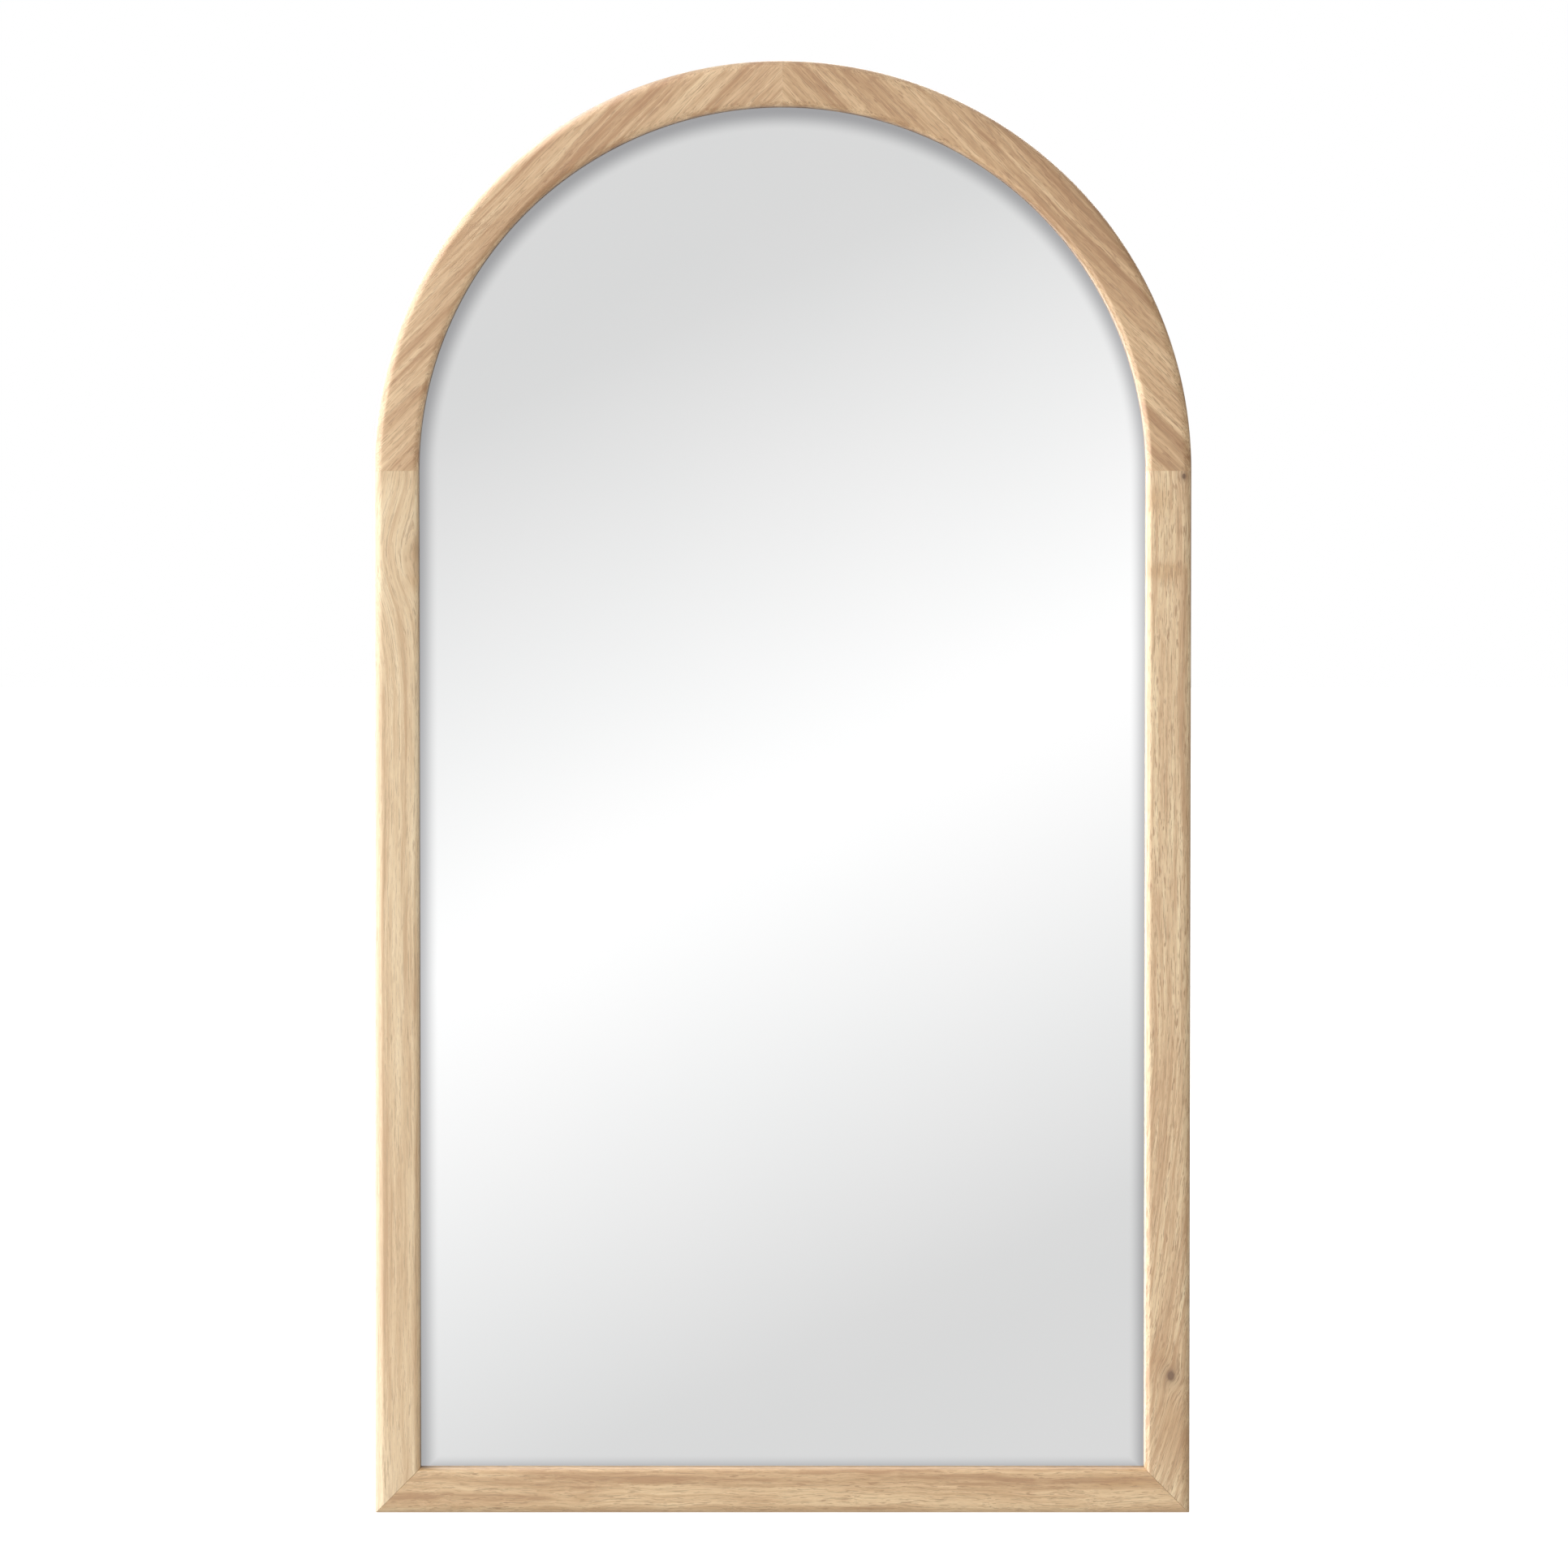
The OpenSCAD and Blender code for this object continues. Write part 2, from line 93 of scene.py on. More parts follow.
LEG_X = 230
LEG_W = 40
LEG_T = 22
HEEL = 30
CROSS_H = 45
CROSS_T = 18
UPPER_DROP = 140
LOWER_RISE = 205
FOOT_T = 4
PAD_L = 50
PAD_W = 16
PAD_T = 3
PAD_X = ARCH_R - 90
PAD_Y = EDGE_R + 3 + PAD_W / 2
PAD_PLAY = 0.02
BUMPER_R = 9

BRACKET_T = 2.5
BUMPER_H = BRACKET_T + 5 - 0.3
PLATE_W = 84
PLATE_H = 64
PLATE_D = DEPTH + BRACKET_T
EAR_IN = LEG_W / 2 + 1
EAR_OUT = EAR_IN + BRACKET_T
EAR_R = 11
EAR_FLARE = 15.2        # how much further each way the ear reaches at the plate
STAND_OFF = LEG_T / 2 + 5
PIVOT_D = PLATE_D + STAND_OFF
BOLT_D = 6
BOLT_PLAY = 0.03
BUSH_D = 10
HEX_R = BOLT_D * 0.96
HEAD_H = BOLT_D * 0.67
NUT_H = BOLT_D * 0.7
COLLAR_R = BOLT_D * 0.8

STRAP_T = 1.5
STRAP_W = 14
STRAP_L = 38
WIRE_R = 1.5
RING_R = 12
LOOP_R = WIRE_R + 0.15 + STRAP_T
RING_X = (RECESS_X + ARCH_R) / 2
RING_V = PIVOT_V - HINGE_RAIL_H / 2 - 70
RING_D = DEPTH + LOOP_R

# Screw sizes: head radius, shank radius, length, head height
BOARD_SCREW = (3.2, 1.5, 16, 1.8)
RAIL_SCREW = (4, 2, 30, 2.4)
BRACKET_SCREW = (4, 2, 14, 2.2)
STRAP_SCREW = (2.8, 1.3, 14, 1.4)

# ---- Places, from the frame ----

stile_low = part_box("right_stile")[0]
pad_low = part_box("floor_pads")[0]
front_y = EDGE_R * 0.001 * (math.cos(LEAN) + math.sin(LEAN) - 1)
MIRROR = Matrix.Translation((0, stile_low.y - front_y, stile_low.z)) @ Matrix.Rotation(-LEAN, 4, "X")
hinges = {joint["name"]: Vector(joint["pos_m"]) for joint in frame["joints"]}
pivot = hinges["easel_fold"]
EASEL = Matrix.Translation(pivot) @ Matrix.Rotation(SPLAY, 4, "X")
LEG_L = pivot.z * 1000 / math.cos(SPLAY)
LOWER_DROP = LEG_L - LOWER_RISE
FLOOR_NORMAL = Vector((0, math.sin(LEAN), -math.cos(LEAN)))   # down, in the mirror's frame

# ---- Mesh tools, in millimetres ----


def arc(centre, radius, start, end, steps):
    """Points of an arc, from one angle to another, in degrees."""
    turns = [math.radians(start + (end - start) * i / steps) for i in range(steps + 1)]
    return [(centre[0] + radius * math.cos(t), centre[1] + radius * math.sin(t)) for t in turns]


def sweep(outline, stations, closed=False):
    """An outline of (x, y) points swept through a list of matrices."""
    bm = bmesh.new()
    rings = [[bm.verts.new(m @ Vector((x, y, 0))) for x, y in outline] for m in stations]
    pairs = list(zip(rings, rings[1:] + rings[:1])) if closed else list(zip(rings, rings[1:]))
    count = len(outline)
    for near, far in pairs:
        for i in range(count):
            j = (i + 1) % count
            bm.faces.new((near[i], near[j], far[j], far[i]))
    if not closed:
        bm.faces.new(rings[0])
        bm.faces.new(rings[-1])
    bmesh.ops.recalc_face_normals(bm, faces=bm.faces)
    return bm


def prism(outline, low, high, axis="y"):
    """An outline extruded from low to high, along y (outline in x, z), x (in y, z) or z (in x, y)."""
    turn = {
        "y": Matrix(((1, 0, 0, 0), (0, 0, 1, 0), (0, 1, 0, 0), (0, 0, 0, 1))),
        "x": Matrix(((0, 0, 1, 0), (1, 0, 0, 0), (0, 1, 0, 0), (0, 0, 0, 1))),
        "z": Matrix.Identity(4),
    }[axis]
    return sweep(outline, [turn @ Matrix.Translation((0, 0, t)) for t in (low, high)])


def box(low, high):
    """A block between two corners."""
    (x0, y0, z0), (x1, y1, z1) = low, high
    return prism([(x0, z0), (x1, z0), (x1, z1), (x0, z1)], y0, y1)


def lathe(profile, steps=48):
    """A closed profile of (radius, z) points turned about z."""
    bm = bmesh.new()
    rings = []
    for i in range(steps):
        a = math.radians(360 * i / steps)
        rings.append([bm.verts.new((r * math.cos(a), r * math.sin(a), z)) for r, z in profile])
    for i in range(steps):
        near, far = rings[i], rings[(i + 1) % steps]
        for k in range(len(profile)):
            m = (k + 1) % len(profile)
            if max(profile[k][0], profile[m][0]) > 0:
                bm.faces.new((near[k], near[m], far[m], far[k]))
    bmesh.ops.remove_doubles(bm, verts=bm.verts, dist=1e-4)
    bmesh.ops.dissolve_degenerate(bm, edges=bm.edges, dist=1e-5)
    bmesh.ops.recalc_face_normals(bm, faces=bm.faces)
    return bm


def rounded(width, height, radius, steps=5):
    """The outline of a rectangle about the origin with round corners."""
    x, y = width / 2 - radius, height / 2 - radius
    corners = [((x, -y), -90), ((x, y), 0), ((-x, y), 90), ((-x, -y), 180)]
    return [p for centre, start in corners for p in arc(centre, radius, start, start + 90, steps)]


def soften(bm, width, steps=2, sharper_than=35, choose=None):
    """Rounds the edges that are sharper than an angle."""
    edges = [e for e in bm.edges
             if len(e.link_faces) == 2 and e.calc_face_angle(0) > math.radians(sharper_than)
             and (choose is None or choose(e))]
    bmesh.ops.bevel(bm, geom=edges, offset=width, segments=steps, profile=0.5, affect="EDGES",
                    clamp_overlap=True)
    return bm


def cut_plane(bm, point, normal, edge=0.0):
    """Removes what is on the normal's side of a plane, closes the cut and rounds its edge."""
    geometry = bm.verts[:] + bm.edges[:] + bm.faces[:]
    cut = bmesh.ops.bisect_plane(bm, geom=geometry, dist=1e-4, plane_co=point, plane_no=normal,
                                 clear_outer=True)
    rim = [e for e in cut["geom_cut"] if isinstance(e, bmesh.types.BMEdge)]
    bmesh.ops.contextual_create(bm, geom=rim)
    bmesh.ops.recalc_face_normals(bm, faces=bm.faces)
    if edge:
        rim = [e for e in rim if e.is_valid]
        bmesh.ops.bevel(bm, geom=rim, offset=edge, segments=1, affect="EDGES", clamp_overlap=True)
    return bm


def mirrored(bm):
    """The same shape on the other side of x = 0."""
    bm.transform(Matrix.Diagonal((-1, 1, 1, 1)))
    bmesh.ops.reverse_faces(bm, faces=bm.faces)
    return bm


def joined(parts):
    """Several meshes in one, with no change to their shells."""
    whole = bmesh.new()
    for part in parts:
        mesh = bpy.data.meshes.new("part")
        part.to_mesh(mesh)
        part.free()
        whole.from_mesh(mesh)
        bpy.data.meshes.remove(mesh)
    return whole


def boolean(bm, other, operation):
    """The union or difference of two closed meshes."""
    objects = []
    for part in (bm, other):
        mesh = bpy.data.meshes.new("operand")
        part.to_mesh(mesh)
        part.free()
        objects.append(bpy.data.objects.new("operand", mesh))
        bpy.context.scene.collection.objects.link(objects[-1])
    modifier = objects[0].modifiers.new("boolean", "BOOLEAN")
    modifier.operation = operation
    modifier.solver = "EXACT"
    modifier.object = objects[1]
    evaluated = objects[0].evaluated_get(bpy.context.evaluated_depsgraph_get())
    mesh = bpy.data.meshes.new_from_object(evaluated)
    result = bmesh.new()
    result.from_mesh(mesh)
    bpy.data.meshes.remove(mesh)
    for o in objects:
        data = o.data
        bpy.data.objects.remove(o)
        bpy.data.meshes.remove(data)
    return result


def piece(name, bm, place, body, material, slot, *nodes, smooth=30):
    """Makes an object of a mesh in millimetres, puts it in place, gives it its body and hides the CAD nodes
    that it stands for; the slot is not used.
    """
    bm.transform(Matrix.Scale(0.001, 4))
    mesh = bpy.data.meshes.new(name)
    bm.to_mesh(mesh)
    bm.free()
    mesh.materials.append(material)
    mesh.shade_smooth()
    mesh.set_sharp_from_angle(angle=math.radians(smooth))
    obj = bpy.data.objects.new(name, mesh)
    bpy.context.scene.collection.objects.link(obj)
    obj.matrix_world = place
    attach(obj, body)
    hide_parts(*nodes)
    return obj


# ---- Material tools ----


def new_material(name):
    """An empty node material, and its Principled shader joined to the output."""
    material = bpy.data.materials.new(name)
    material.use_nodes = True
    tree = material.node_tree
    tree.nodes.clear()
    output = tree.nodes.new("ShaderNodeOutputMaterial")
    shader = tree.nodes.new("ShaderNodeBsdfPrincipled")
    tree.links.new(shader.outputs["BSDF"], output.inputs["Surface"])
    return material, tree, shader


def node(tree, kind, inputs=(), **settings):
    """A node with its settings; each input is (name or index, a value or another node's socket)."""
    n = tree.nodes.new("ShaderNode" + kind)
    for key, value in settings.items():
        setattr(n, key, value)
    for key, value in inputs:
        if isinstance(value, bpy.types.NodeSocket):
            tree.links.new(value, n.inputs[key])
        else:
            n.inputs[key].default_value = value
    return n


def calc(tree, operation, *values):
    """A Math node's result."""
    return node(tree, "Math", list(enumerate(values)), operation=operation).outputs[0]


def vcalc(tree, operation, *values):
    """A Vector Math node's result."""
    n = node(tree, "VectorMath", list(enumerate(values)), operation=operation)
    return n.outputs["Value"] if operation in ("LENGTH", "DOT_PRODUCT", "DISTANCE") else n.outputs["Vector"]


def noise(tree, where, scales, detail=3.0, roughness=0.55):
    """Noise from 0 to 1, stretched by its three scales per metre."""
    stretched = vcalc(tree, "MULTIPLY", where, scales)
    return node(tree, "TexNoise", [("Vector", stretched), ("Scale", 1.0), ("Detail", detail),
                                   ("Roughness", roughness)]).outputs["Fac"]


def remap(tree, value, low, high, to_low=0.0, to_high=1.0):
    """A value moved from one range to another and kept inside it, with soft ends."""
    return node(tree, "MapRange", [("Value", value), ("From Min", low), ("From Max", high),
                                   ("To Min", to_low), ("To Max", to_high)],
                interpolation_type="SMOOTHSTEP").outputs["Result"]


def mix(tree, factor, a, b, blend="MIX"):
    """Two colours mixed."""
    return node(tree, "Mix", [(0, factor), (6, a), (7, b)], data_type="RGBA", blend_type=blend).outputs[2]


def ramp(tree, value, stops):
    """A colour ramp of (position, colour) stops."""
    n = node(tree, "ValToRGB", [("Fac", value)])
    while len(n.color_ramp.elements) < len(stops):
        n.color_ramp.elements.new(0.5)
    for element, (position, colour) in zip(n.color_ramp.elements, stops):
        element.position = position
        element.color = colour
    return n.outputs["Color"]


def srgb(red, green, blue):
    """A linear colour from 8-bit display values."""
    def linear(c):
        c /= 255
        return c / 12.92 if c <= 0.04045 else ((c + 0.055) / 1.055) ** 2.4
    return (linear(red), linear(green), linear(blue), 1.0)


def grey(level):
    """A linear grey."""
    return (level, level, level, 1.0)


def bump(tree, shader, height, strength, distance):
    """Bump on the shader, in metres."""
    n = node(tree, "Bump", [("Strength", strength), ("Distance", distance), ("Height", height)])
    tree.links.new(n.outputs["Normal"], shader.inputs["Normal"])


def gaussian(tree, value, width):
    """1 where the value is 0, falling off over the width."""
    ratio = calc(tree, "DIVIDE", value, width)
    return calc(tree, "EXPONENT", calc(tree, "MULTIPLY", calc(tree, "MULTIPLY", ratio, ratio), -1.0))


def drift(tree, where, scales, size):
    """A smooth sideways shift in x and y that follows noise."""
    stretched = vcalc(tree, "MULTIPLY", where, scales)
    cloud = node(tree, "TexNoise", [("Vector", stretched), ("Scale", 1.0), ("Detail", 1.0)])
    colour = cloud.outputs["Color"]
    return vcalc(tree, "MULTIPLY", vcalc(tree, "SUBTRACT", colour, (0.5, 0.5, 0.5)), (size, size, 0.0))


def wood(name, turn=0.0, offset=(0.0, 0.0, 0.0), tones=((196, 160, 121), (218, 188, 150), (235, 212, 176)),
         bands=0.5, streaks=0.6, lines=0.5, pores=0.5, blotch=0.4, wave=0.003, wander=0.02, sway=(0.0, 0.0),
         knots=(), stains=(), rough=0.40):
    """Oak with its grain along z, or turned about y by an angle in degrees.

    sway is (height, amount): below that height the grain leans more and more. A knot is
    (x, z, radius, spread, darkness), and the grain runs round it. A stain is
    (x, z, half width, half height, darkness). Both are in the piece's own frame, in metres.
    """
    material, tree, shader = new_material(name)
    place = node(tree, "TexCoord").outputs["Object"]
    x, _, z = node(tree, "SeparateXYZ", [(0, place)]).outputs
    marks = 0.0
    shift = 0.0
    for knot_x, knot_z, radius, spread, darkness in knots:
        dx = calc(tree, "SUBTRACT", x, knot_x)
        dz = calc(tree, "MULTIPLY", calc(tree, "SUBTRACT", z, knot_z), 0.75)
        away = vcalc(tree, "LENGTH", node(tree, "CombineXYZ", [(0, dx), (2, dz)]).outputs[0])
        near = gaussian(tree, away, radius)
        push = calc(tree, "MULTIPLY", calc(tree, "MULTIPLY", dx, near), spread)
        shift = calc(tree, "SUBTRACT", shift, push)
        core = calc(tree, "POWER", near, 22.0)
        halo = calc(tree, "MULTIPLY", calc(tree, "POWER", near, 2.0), 0.25)
        marks = calc(tree, "ADD", marks, calc(tree, "MULTIPLY", calc(tree, "ADD", core, halo), darkness))
    low = calc(tree, "MAXIMUM", calc(tree, "SUBTRACT", sway[0], z), 0.0)
    shift = calc(tree, "ADD", shift, calc(tree, "MULTIPLY", calc(tree, "MULTIPLY", low, low), sway[1]))
    bent = vcalc(tree, "ADD", place, node(tree, "CombineXYZ", [(0, shift)]).outputs[0])
    along = node(tree, "Mapping", [("Vector", bent), ("Location", offset),
                                   ("Rotation", (0.0, math.radians(turn), 0.0))]).outputs[0]
    slow = drift(tree, along, (5.0, 5.0, 2.6), wander)
    quick = drift(tree, along, (30.0, 30.0, 17.0), wave)
    grain = vcalc(tree, "ADD", along, vcalc(tree, "ADD", slow, quick))

    band = noise(tree, grain, (75.0, 75.0, 2.4), 2.0, 0.5)
    streak = noise(tree, grain, (270.0, 270.0, 6.0), 2.0, 0.6)
    line = noise(tree, grain, (760.0, 760.0, 24.0), 3.0, 0.7)
    dash = noise(tree, grain, (900.0, 900.0, 75.0), 1.0, 0.5)
    patch = noise(tree, along, (22.0, 22.0, 9.0), 2.0, 0.5)

    tone = 0.5
    for part, amount in ((band, 2.8 * bands), (streak, 2.8 * streaks), (line, 1.8 * lines)):
        tone = calc(tree, "ADD", tone, calc(tree, "MULTIPLY", calc(tree, "SUBTRACT", part, 0.5), amount))
    dark, mean, light = tones
    colour = ramp(tree, tone, [(0.0, srgb(*dark)), (0.5, srgb(*mean)), (1.0, srgb(*light))])
    brown = mix(tree, 1.0, colour, (0.80, 0.70, 0.60, 1.0), "MULTIPLY")
    shade = calc(tree, "MULTIPLY", remap(tree, patch, 0.5, 0.78), blotch)
    for stain_x, stain_z, half_x, half_z, darkness in stains:
        side = gaussian(tree, calc(tree, "SUBTRACT", x, stain_x), half_x)
        height = gaussian(tree, calc(tree, "SUBTRACT", z, stain_z), half_z)
        spot = calc(tree, "MULTIPLY", calc(tree, "MULTIPLY", side, height), darkness)
        uneven = calc(tree, "MULTIPLY", spot, remap(tree, streak, 0.3, 0.62, 0.55, 1.15))
        shade = calc(tree, "ADD", shade, uneven)
    colour = mix(tree, node(tree, "Clamp", [(0, shade)]).outputs[0], colour, brown)
    fibre = calc(tree, "MULTIPLY", remap(tree, line, 0.52, 0.64), lines)
    colour = mix(tree, fibre, colour, srgb(*[c * 0.88 for c in dark]))
    pit = remap(tree, dash, 0.58, 0.66)
    pit = calc(tree, "MULTIPLY", pit, remap(tree, streak, 0.35, 0.6, 0.35, 1.0))
    deep = srgb(dark[0] * 0.82, dark[1] * 0.74, dark[2] * 0.66)
    colour = mix(tree, calc(tree, "MULTIPLY", pit, pores), colour, deep)
    if knots:
        colour = mix(tree, node(tree, "Clamp", [(0, marks)]).outputs[0], colour, srgb(98, 58, 34))
    worn = remap(tree, node(tree, "NewGeometry").outputs["Pointiness"], 0.51, 0.56, 0.0, 0.12)
    colour = mix(tree, worn, colour, srgb(*light))
    tree.links.new(colour, shader.inputs["Base Color"])
    tree.links.new(remap(tree, line, 0.2, 0.8, rough - 0.05, rough + 0.08), shader.inputs["Roughness"])
    shader.inputs["IOR"].default_value = 1.5
    shader.inputs["Specular IOR Level"].default_value = 0.7
    bump(tree, shader, calc(tree, "SUBTRACT", calc(tree, "MULTIPLY", line, -0.5), pit), 0.35, 0.0003)
    return material


def metal(name, colour, rough, brushed=(300.0, 300.0, 300.0), stain=0.25):
    """Bare or plated metal with fine scratches and a little staining."""
    material, tree, shader = new_material(name)
    place = node(tree, "TexCoord").outputs["Object"]
    scratches = noise(tree, place, brushed, 4.0, 0.65)
    clouds = noise(tree, place, (60.0, 60.0, 60.0), 3.0, 0.5)
    base = srgb(*colour)
    dull = srgb(*[c * (1 - stain) for c in colour])
    tree.links.new(mix(tree, remap(tree, clouds, 0.35, 0.7), base, dull), shader.inputs["Base Color"])
    uneven = remap(tree, scratches, 0.25, 0.75, rough - 0.1, rough + 0.12)
    tree.links.new(uneven, shader.inputs["Roughness"])
    shader.inputs["Metallic"].default_value = 1.0
    bump(tree, shader, scratches, 0.12, 0.0001)
    return material


def coated(name, colour, rough, grit=900.0, depth=0.00012, vary=0.2, edges=0.0):
    """A plain moulded or coated surface: paint, nylon, rubber or foam, with a fine texture."""
    material, tree, shader = new_material(name)
    place = node(tree, "TexCoord").outputs["Object"]
    skin = noise(tree, place, (grit, grit, grit), 3.0, 0.6)
    clouds = noise(tree, place, (35.0, 35.0, 35.0), 3.0, 0.5)
    deep = srgb(*[c * (1 - vary) for c in colour])
    shade = mix(tree, remap(tree, clouds, 0.3, 0.7), srgb(*colour), deep)
    if edges:
        worn = remap(tree, node(tree, "NewGeometry").outputs["Pointiness"], 0.52, 0.58)
        shade = mix(tree, calc(tree, "MULTIPLY", worn, edges), shade, srgb(150, 150, 150))
    tree.links.new(shade, shader.inputs["Base Color"])
    tree.links.new(remap(tree, skin, 0.2, 0.8, rough - 0.08, rough + 0.08), shader.inputs["Roughness"])
    bump(tree, shader, skin, 0.4, depth)
    return material


def fibreboard(name):
    """Brown hardboard: short fibres in every direction, and a smooth dull face."""
    material, tree, shader = new_material(name)
    place = node(tree, "TexCoord").outputs["Object"]
    fibre_a = noise(tree, place, (900.0, 900.0, 220.0), 4.0, 0.7)
    fibre_b = noise(tree, place, (220.0, 900.0, 900.0), 4.0, 0.7)
    fibres = calc(tree, "MAXIMUM", fibre_a, fibre_b)
    clouds = noise(tree, place, (9.0, 9.0, 9.0), 4.0, 0.6)
    colour = ramp(tree, fibres, [(0.42, srgb(118, 86, 58)), (0.56, srgb(146, 110, 78)),
                                 (0.72, srgb(178, 142, 106))])
    colour = mix(tree, remap(tree, clouds, 0.3, 0.75, 0.0, 0.35), colour, srgb(110, 80, 54))
    tree.links.new(colour, shader.inputs["Base Color"])
    tree.links.new(remap(tree, fibres, 0.4, 0.7, 0.62, 0.8), shader.inputs["Roughness"])
    bump(tree, shader, fibres, 0.3, 0.0002)
    return material


def silvered(name):
    """Mirror glass, with a painted shade round the picture: the soft dark rim that the deep lip would cast.
    """
    material, tree, shader = new_material(name)
    place = node(tree, "TexCoord").outputs["Object"]
    # The painted shade is moved a little to the right and down, so it is deepest under the crown.
    moved = vcalc(tree, "ADD", place, (-0.0015, 0.0, 0.006))
    across, _, up = node(tree, "SeparateXYZ", [(0, moved)]).outputs
    rise = calc(tree, "MAXIMUM", calc(tree, "SUBTRACT", up, SPRING_V * 0.001), 0.0)
    spoke = vcalc(tree, "LENGTH", node(tree, "CombineXYZ", [(0, across), (2, rise)]).outputs[0])
    to_side = calc(tree, "SUBTRACT", SIGHT_X * 0.001, spoke)
    to_foot = calc(tree, "SUBTRACT", up, FACE_W * 0.001)
    inside = calc(tree, "MINIMUM", to_side, to_foot)
    shade = remap(tree, inside, -0.002, 0.020, 0.62, 0.0)
    film = noise(tree, place, (3.0, 3.0, 3.0), 2.0, 0.5)
    tint = mix(tree, remap(tree, film, 0.3, 0.7), (0.955, 0.96, 0.96, 1.0), (0.965, 0.965, 0.965, 1.0))
    # The glass's colour is darkened near the sight edge: a painted shadow of the lip, not a mark on the
    # glass.
    colour = mix(tree, shade, tint, (0.22, 0.22, 0.24, 1.0))
    tree.links.new(colour, shader.inputs["Base Color"])
    tree.links.new(remap(tree, film, 0.0, 1.0, 0.01, 0.03), shader.inputs["Roughness"])
    shader.inputs["Metallic"].default_value = 1.0
    return material


OAK_LEFT = wood("oak_left_stile", offset=(0.31, 0.0, 0.2), bands=0.5, streaks=0.7, lines=0.8, pores=0.35,
                blotch=0.15, wander=0.012, tones=((194, 158, 118), (222, 194, 154), (240, 218, 181)),
                knots=[(-0.397, 1.063, 0.055, 0.95, 0.2)],
                stains=[(-0.402, 1.06, 0.012, 0.022, 0.8), (-0.404, 1.028, 0.012, 0.012, 0.7),
                        (-0.43, 1.145, 0.03, 0.008, 0.3), (-0.425, 0.2, 0.05, 0.30, 0.40)])
OAK_RIGHT = wood("oak_right_stile", offset=(0.1, 0.0, 0.7), bands=0.45, streaks=0.8, lines=1.0, pores=0.85,
                 blotch=0.35, sway=(0.55, 0.3), tones=((188, 147, 107), (221, 190, 149), (240, 218, 178)),
                 knots=[(0.4285, 0.153, 0.015, 0.8, 1.6), (0.441, 1.144, 0.009, 0.5, 1.4)],
                 stains=[(0.410, 1.118, 0.02, 0.016, 1.0), (0.418, 1.040, 0.022, 0.009, 1.5),
                         (0.427, 0.10, 0.018, 0.05, 0.7), (0.447, 0.05, 0.012, 0.07, 0.7),
                         (0.42, 0.17, 0.02, 0.02, 0.5)])
OAK_RAIL = wood("oak_bottom_rail", turn=-90, offset=(0.2, 0.1, 0.0), bands=0.7, streaks=0.6, lines=0.7,
                pores=0.6, blotch=0.35, wave=0.008, stains=[(0.40, 0.035, 0.07, 0.008, 0.9)],
                tones=((178, 137, 97), (211, 176, 133), (232, 203, 160)))
OAK_ARCH_L = wood("oak_left_arch", turn=-45, offset=(0.05, 0.0, 0.1), bands=0.75, streaks=0.6, lines=0.7,
                  pores=0.5, blotch=0.3, wander=0.012,
                  tones=((178, 137, 98), (208, 173, 133), (230, 201, 160)))
OAK_ARCH_R = wood("oak_right_arch", turn=45, offset=(0.4, 0.0, 0.3), bands=0.8, streaks=0.6, lines=0.7,
                  pores=0.6, blotch=0.35, wander=0.012,
                  tones=((170, 130, 91), (202, 166, 125), (226, 195, 153)))
OAK_BACK = wood("oak_back_rails", turn=-90, offset=(0.5, 0.2, 0.4), pores=0.6, rough=0.52,
                tones=((188, 150, 112), (213, 182, 144), (230, 202, 165)))
OAK_LEG = wood("oak_easel_legs", offset=(0.7, 0.3, 0.1), bands=0.8, pores=0.6, rough=0.52,
               tones=((188, 150, 111), (213, 182, 143), (231, 204, 166)))
OAK_CROSS = wood("oak_easel_rails", turn=-90, offset=(0.9, 0.4, 0.6), bands=0.8, pores=0.6, rough=0.52,
                 tones=((186, 148, 109), (211, 179, 140), (230, 202, 164)))
BEECH = wood("beech_dowels", turn=-90, bands=0.3, pores=0.3, blotch=0.1,
             tones=((196, 152, 112), (214, 174, 134), (226, 192, 154)))
SILVERED = silvered("silvered_glass")
BOARD = fibreboard("fibreboard")
BLACK_STEEL = coated("black_powder_coat", (34, 34, 35), 0.42, grit=1400.0, edges=0.35)
ZINC = metal("zinc_screws", (206, 204, 198), 0.3, (900.0, 900.0, 900.0))
BOLT_STEEL = metal("bolt_steel", (196, 197, 200), 0.28, (120.0, 1400.0, 1400.0))
NICKEL = metal("nickel_rings", (214, 212, 206), 0.22, (700.0, 700.0, 700.0), 0.15)
NYLON = coated("nylon", (226, 222, 208), 0.45, grit=500.0, vary=0.06)
RUBBER = coated("rubber", (44, 44, 45), 0.75, grit=1100.0, depth=0.0002)
FOAM = coated("foam", (222, 221, 216), 0.85, grit=700.0, depth=0.0004, vary=0.08)

# ---- Frame ----


def frame_section():
    """The frame's section: x counts inwards from the outer edge, and y back from the front."""
    edge = arc((EDGE_R, EDGE_R), EDGE_R, 180, 270, 10)
    sight = arc((FACE_W - SIGHT_R, SIGHT_R), SIGHT_R, -90, 0, 8)
    back = arc((BACK_R, DEPTH - BACK_R), BACK_R, 90, 180, 4)
    lip = [(FACE_W, LIP_T - 0.6), (FACE_W - 0.6, LIP_T), (FACE_W - GLASS_LIP, LIP_T)]
    steps = [(FACE_W - GLASS_LIP, LEDGE_D), (FACE_W - GLASS_LIP - LEDGE_W, LEDGE_D),
             (FACE_W - GLASS_LIP - LEDGE_W, DEPTH - 0.5), (FACE_W - GLASS_LIP - LEDGE_W - 0.5, DEPTH)]
    return edge + sight + lip + steps + back


SECTION = frame_section()


def at_outer(x, z, inward):
    """A station of the sweep: the outer edge is at (x, z), and inward points to the sight edge."""
    return Matrix(((inward[0], 0, 0, x), (0, 1, 0, 0), (inward[1], 0, 0, z), (0, 0, 0, 1)))


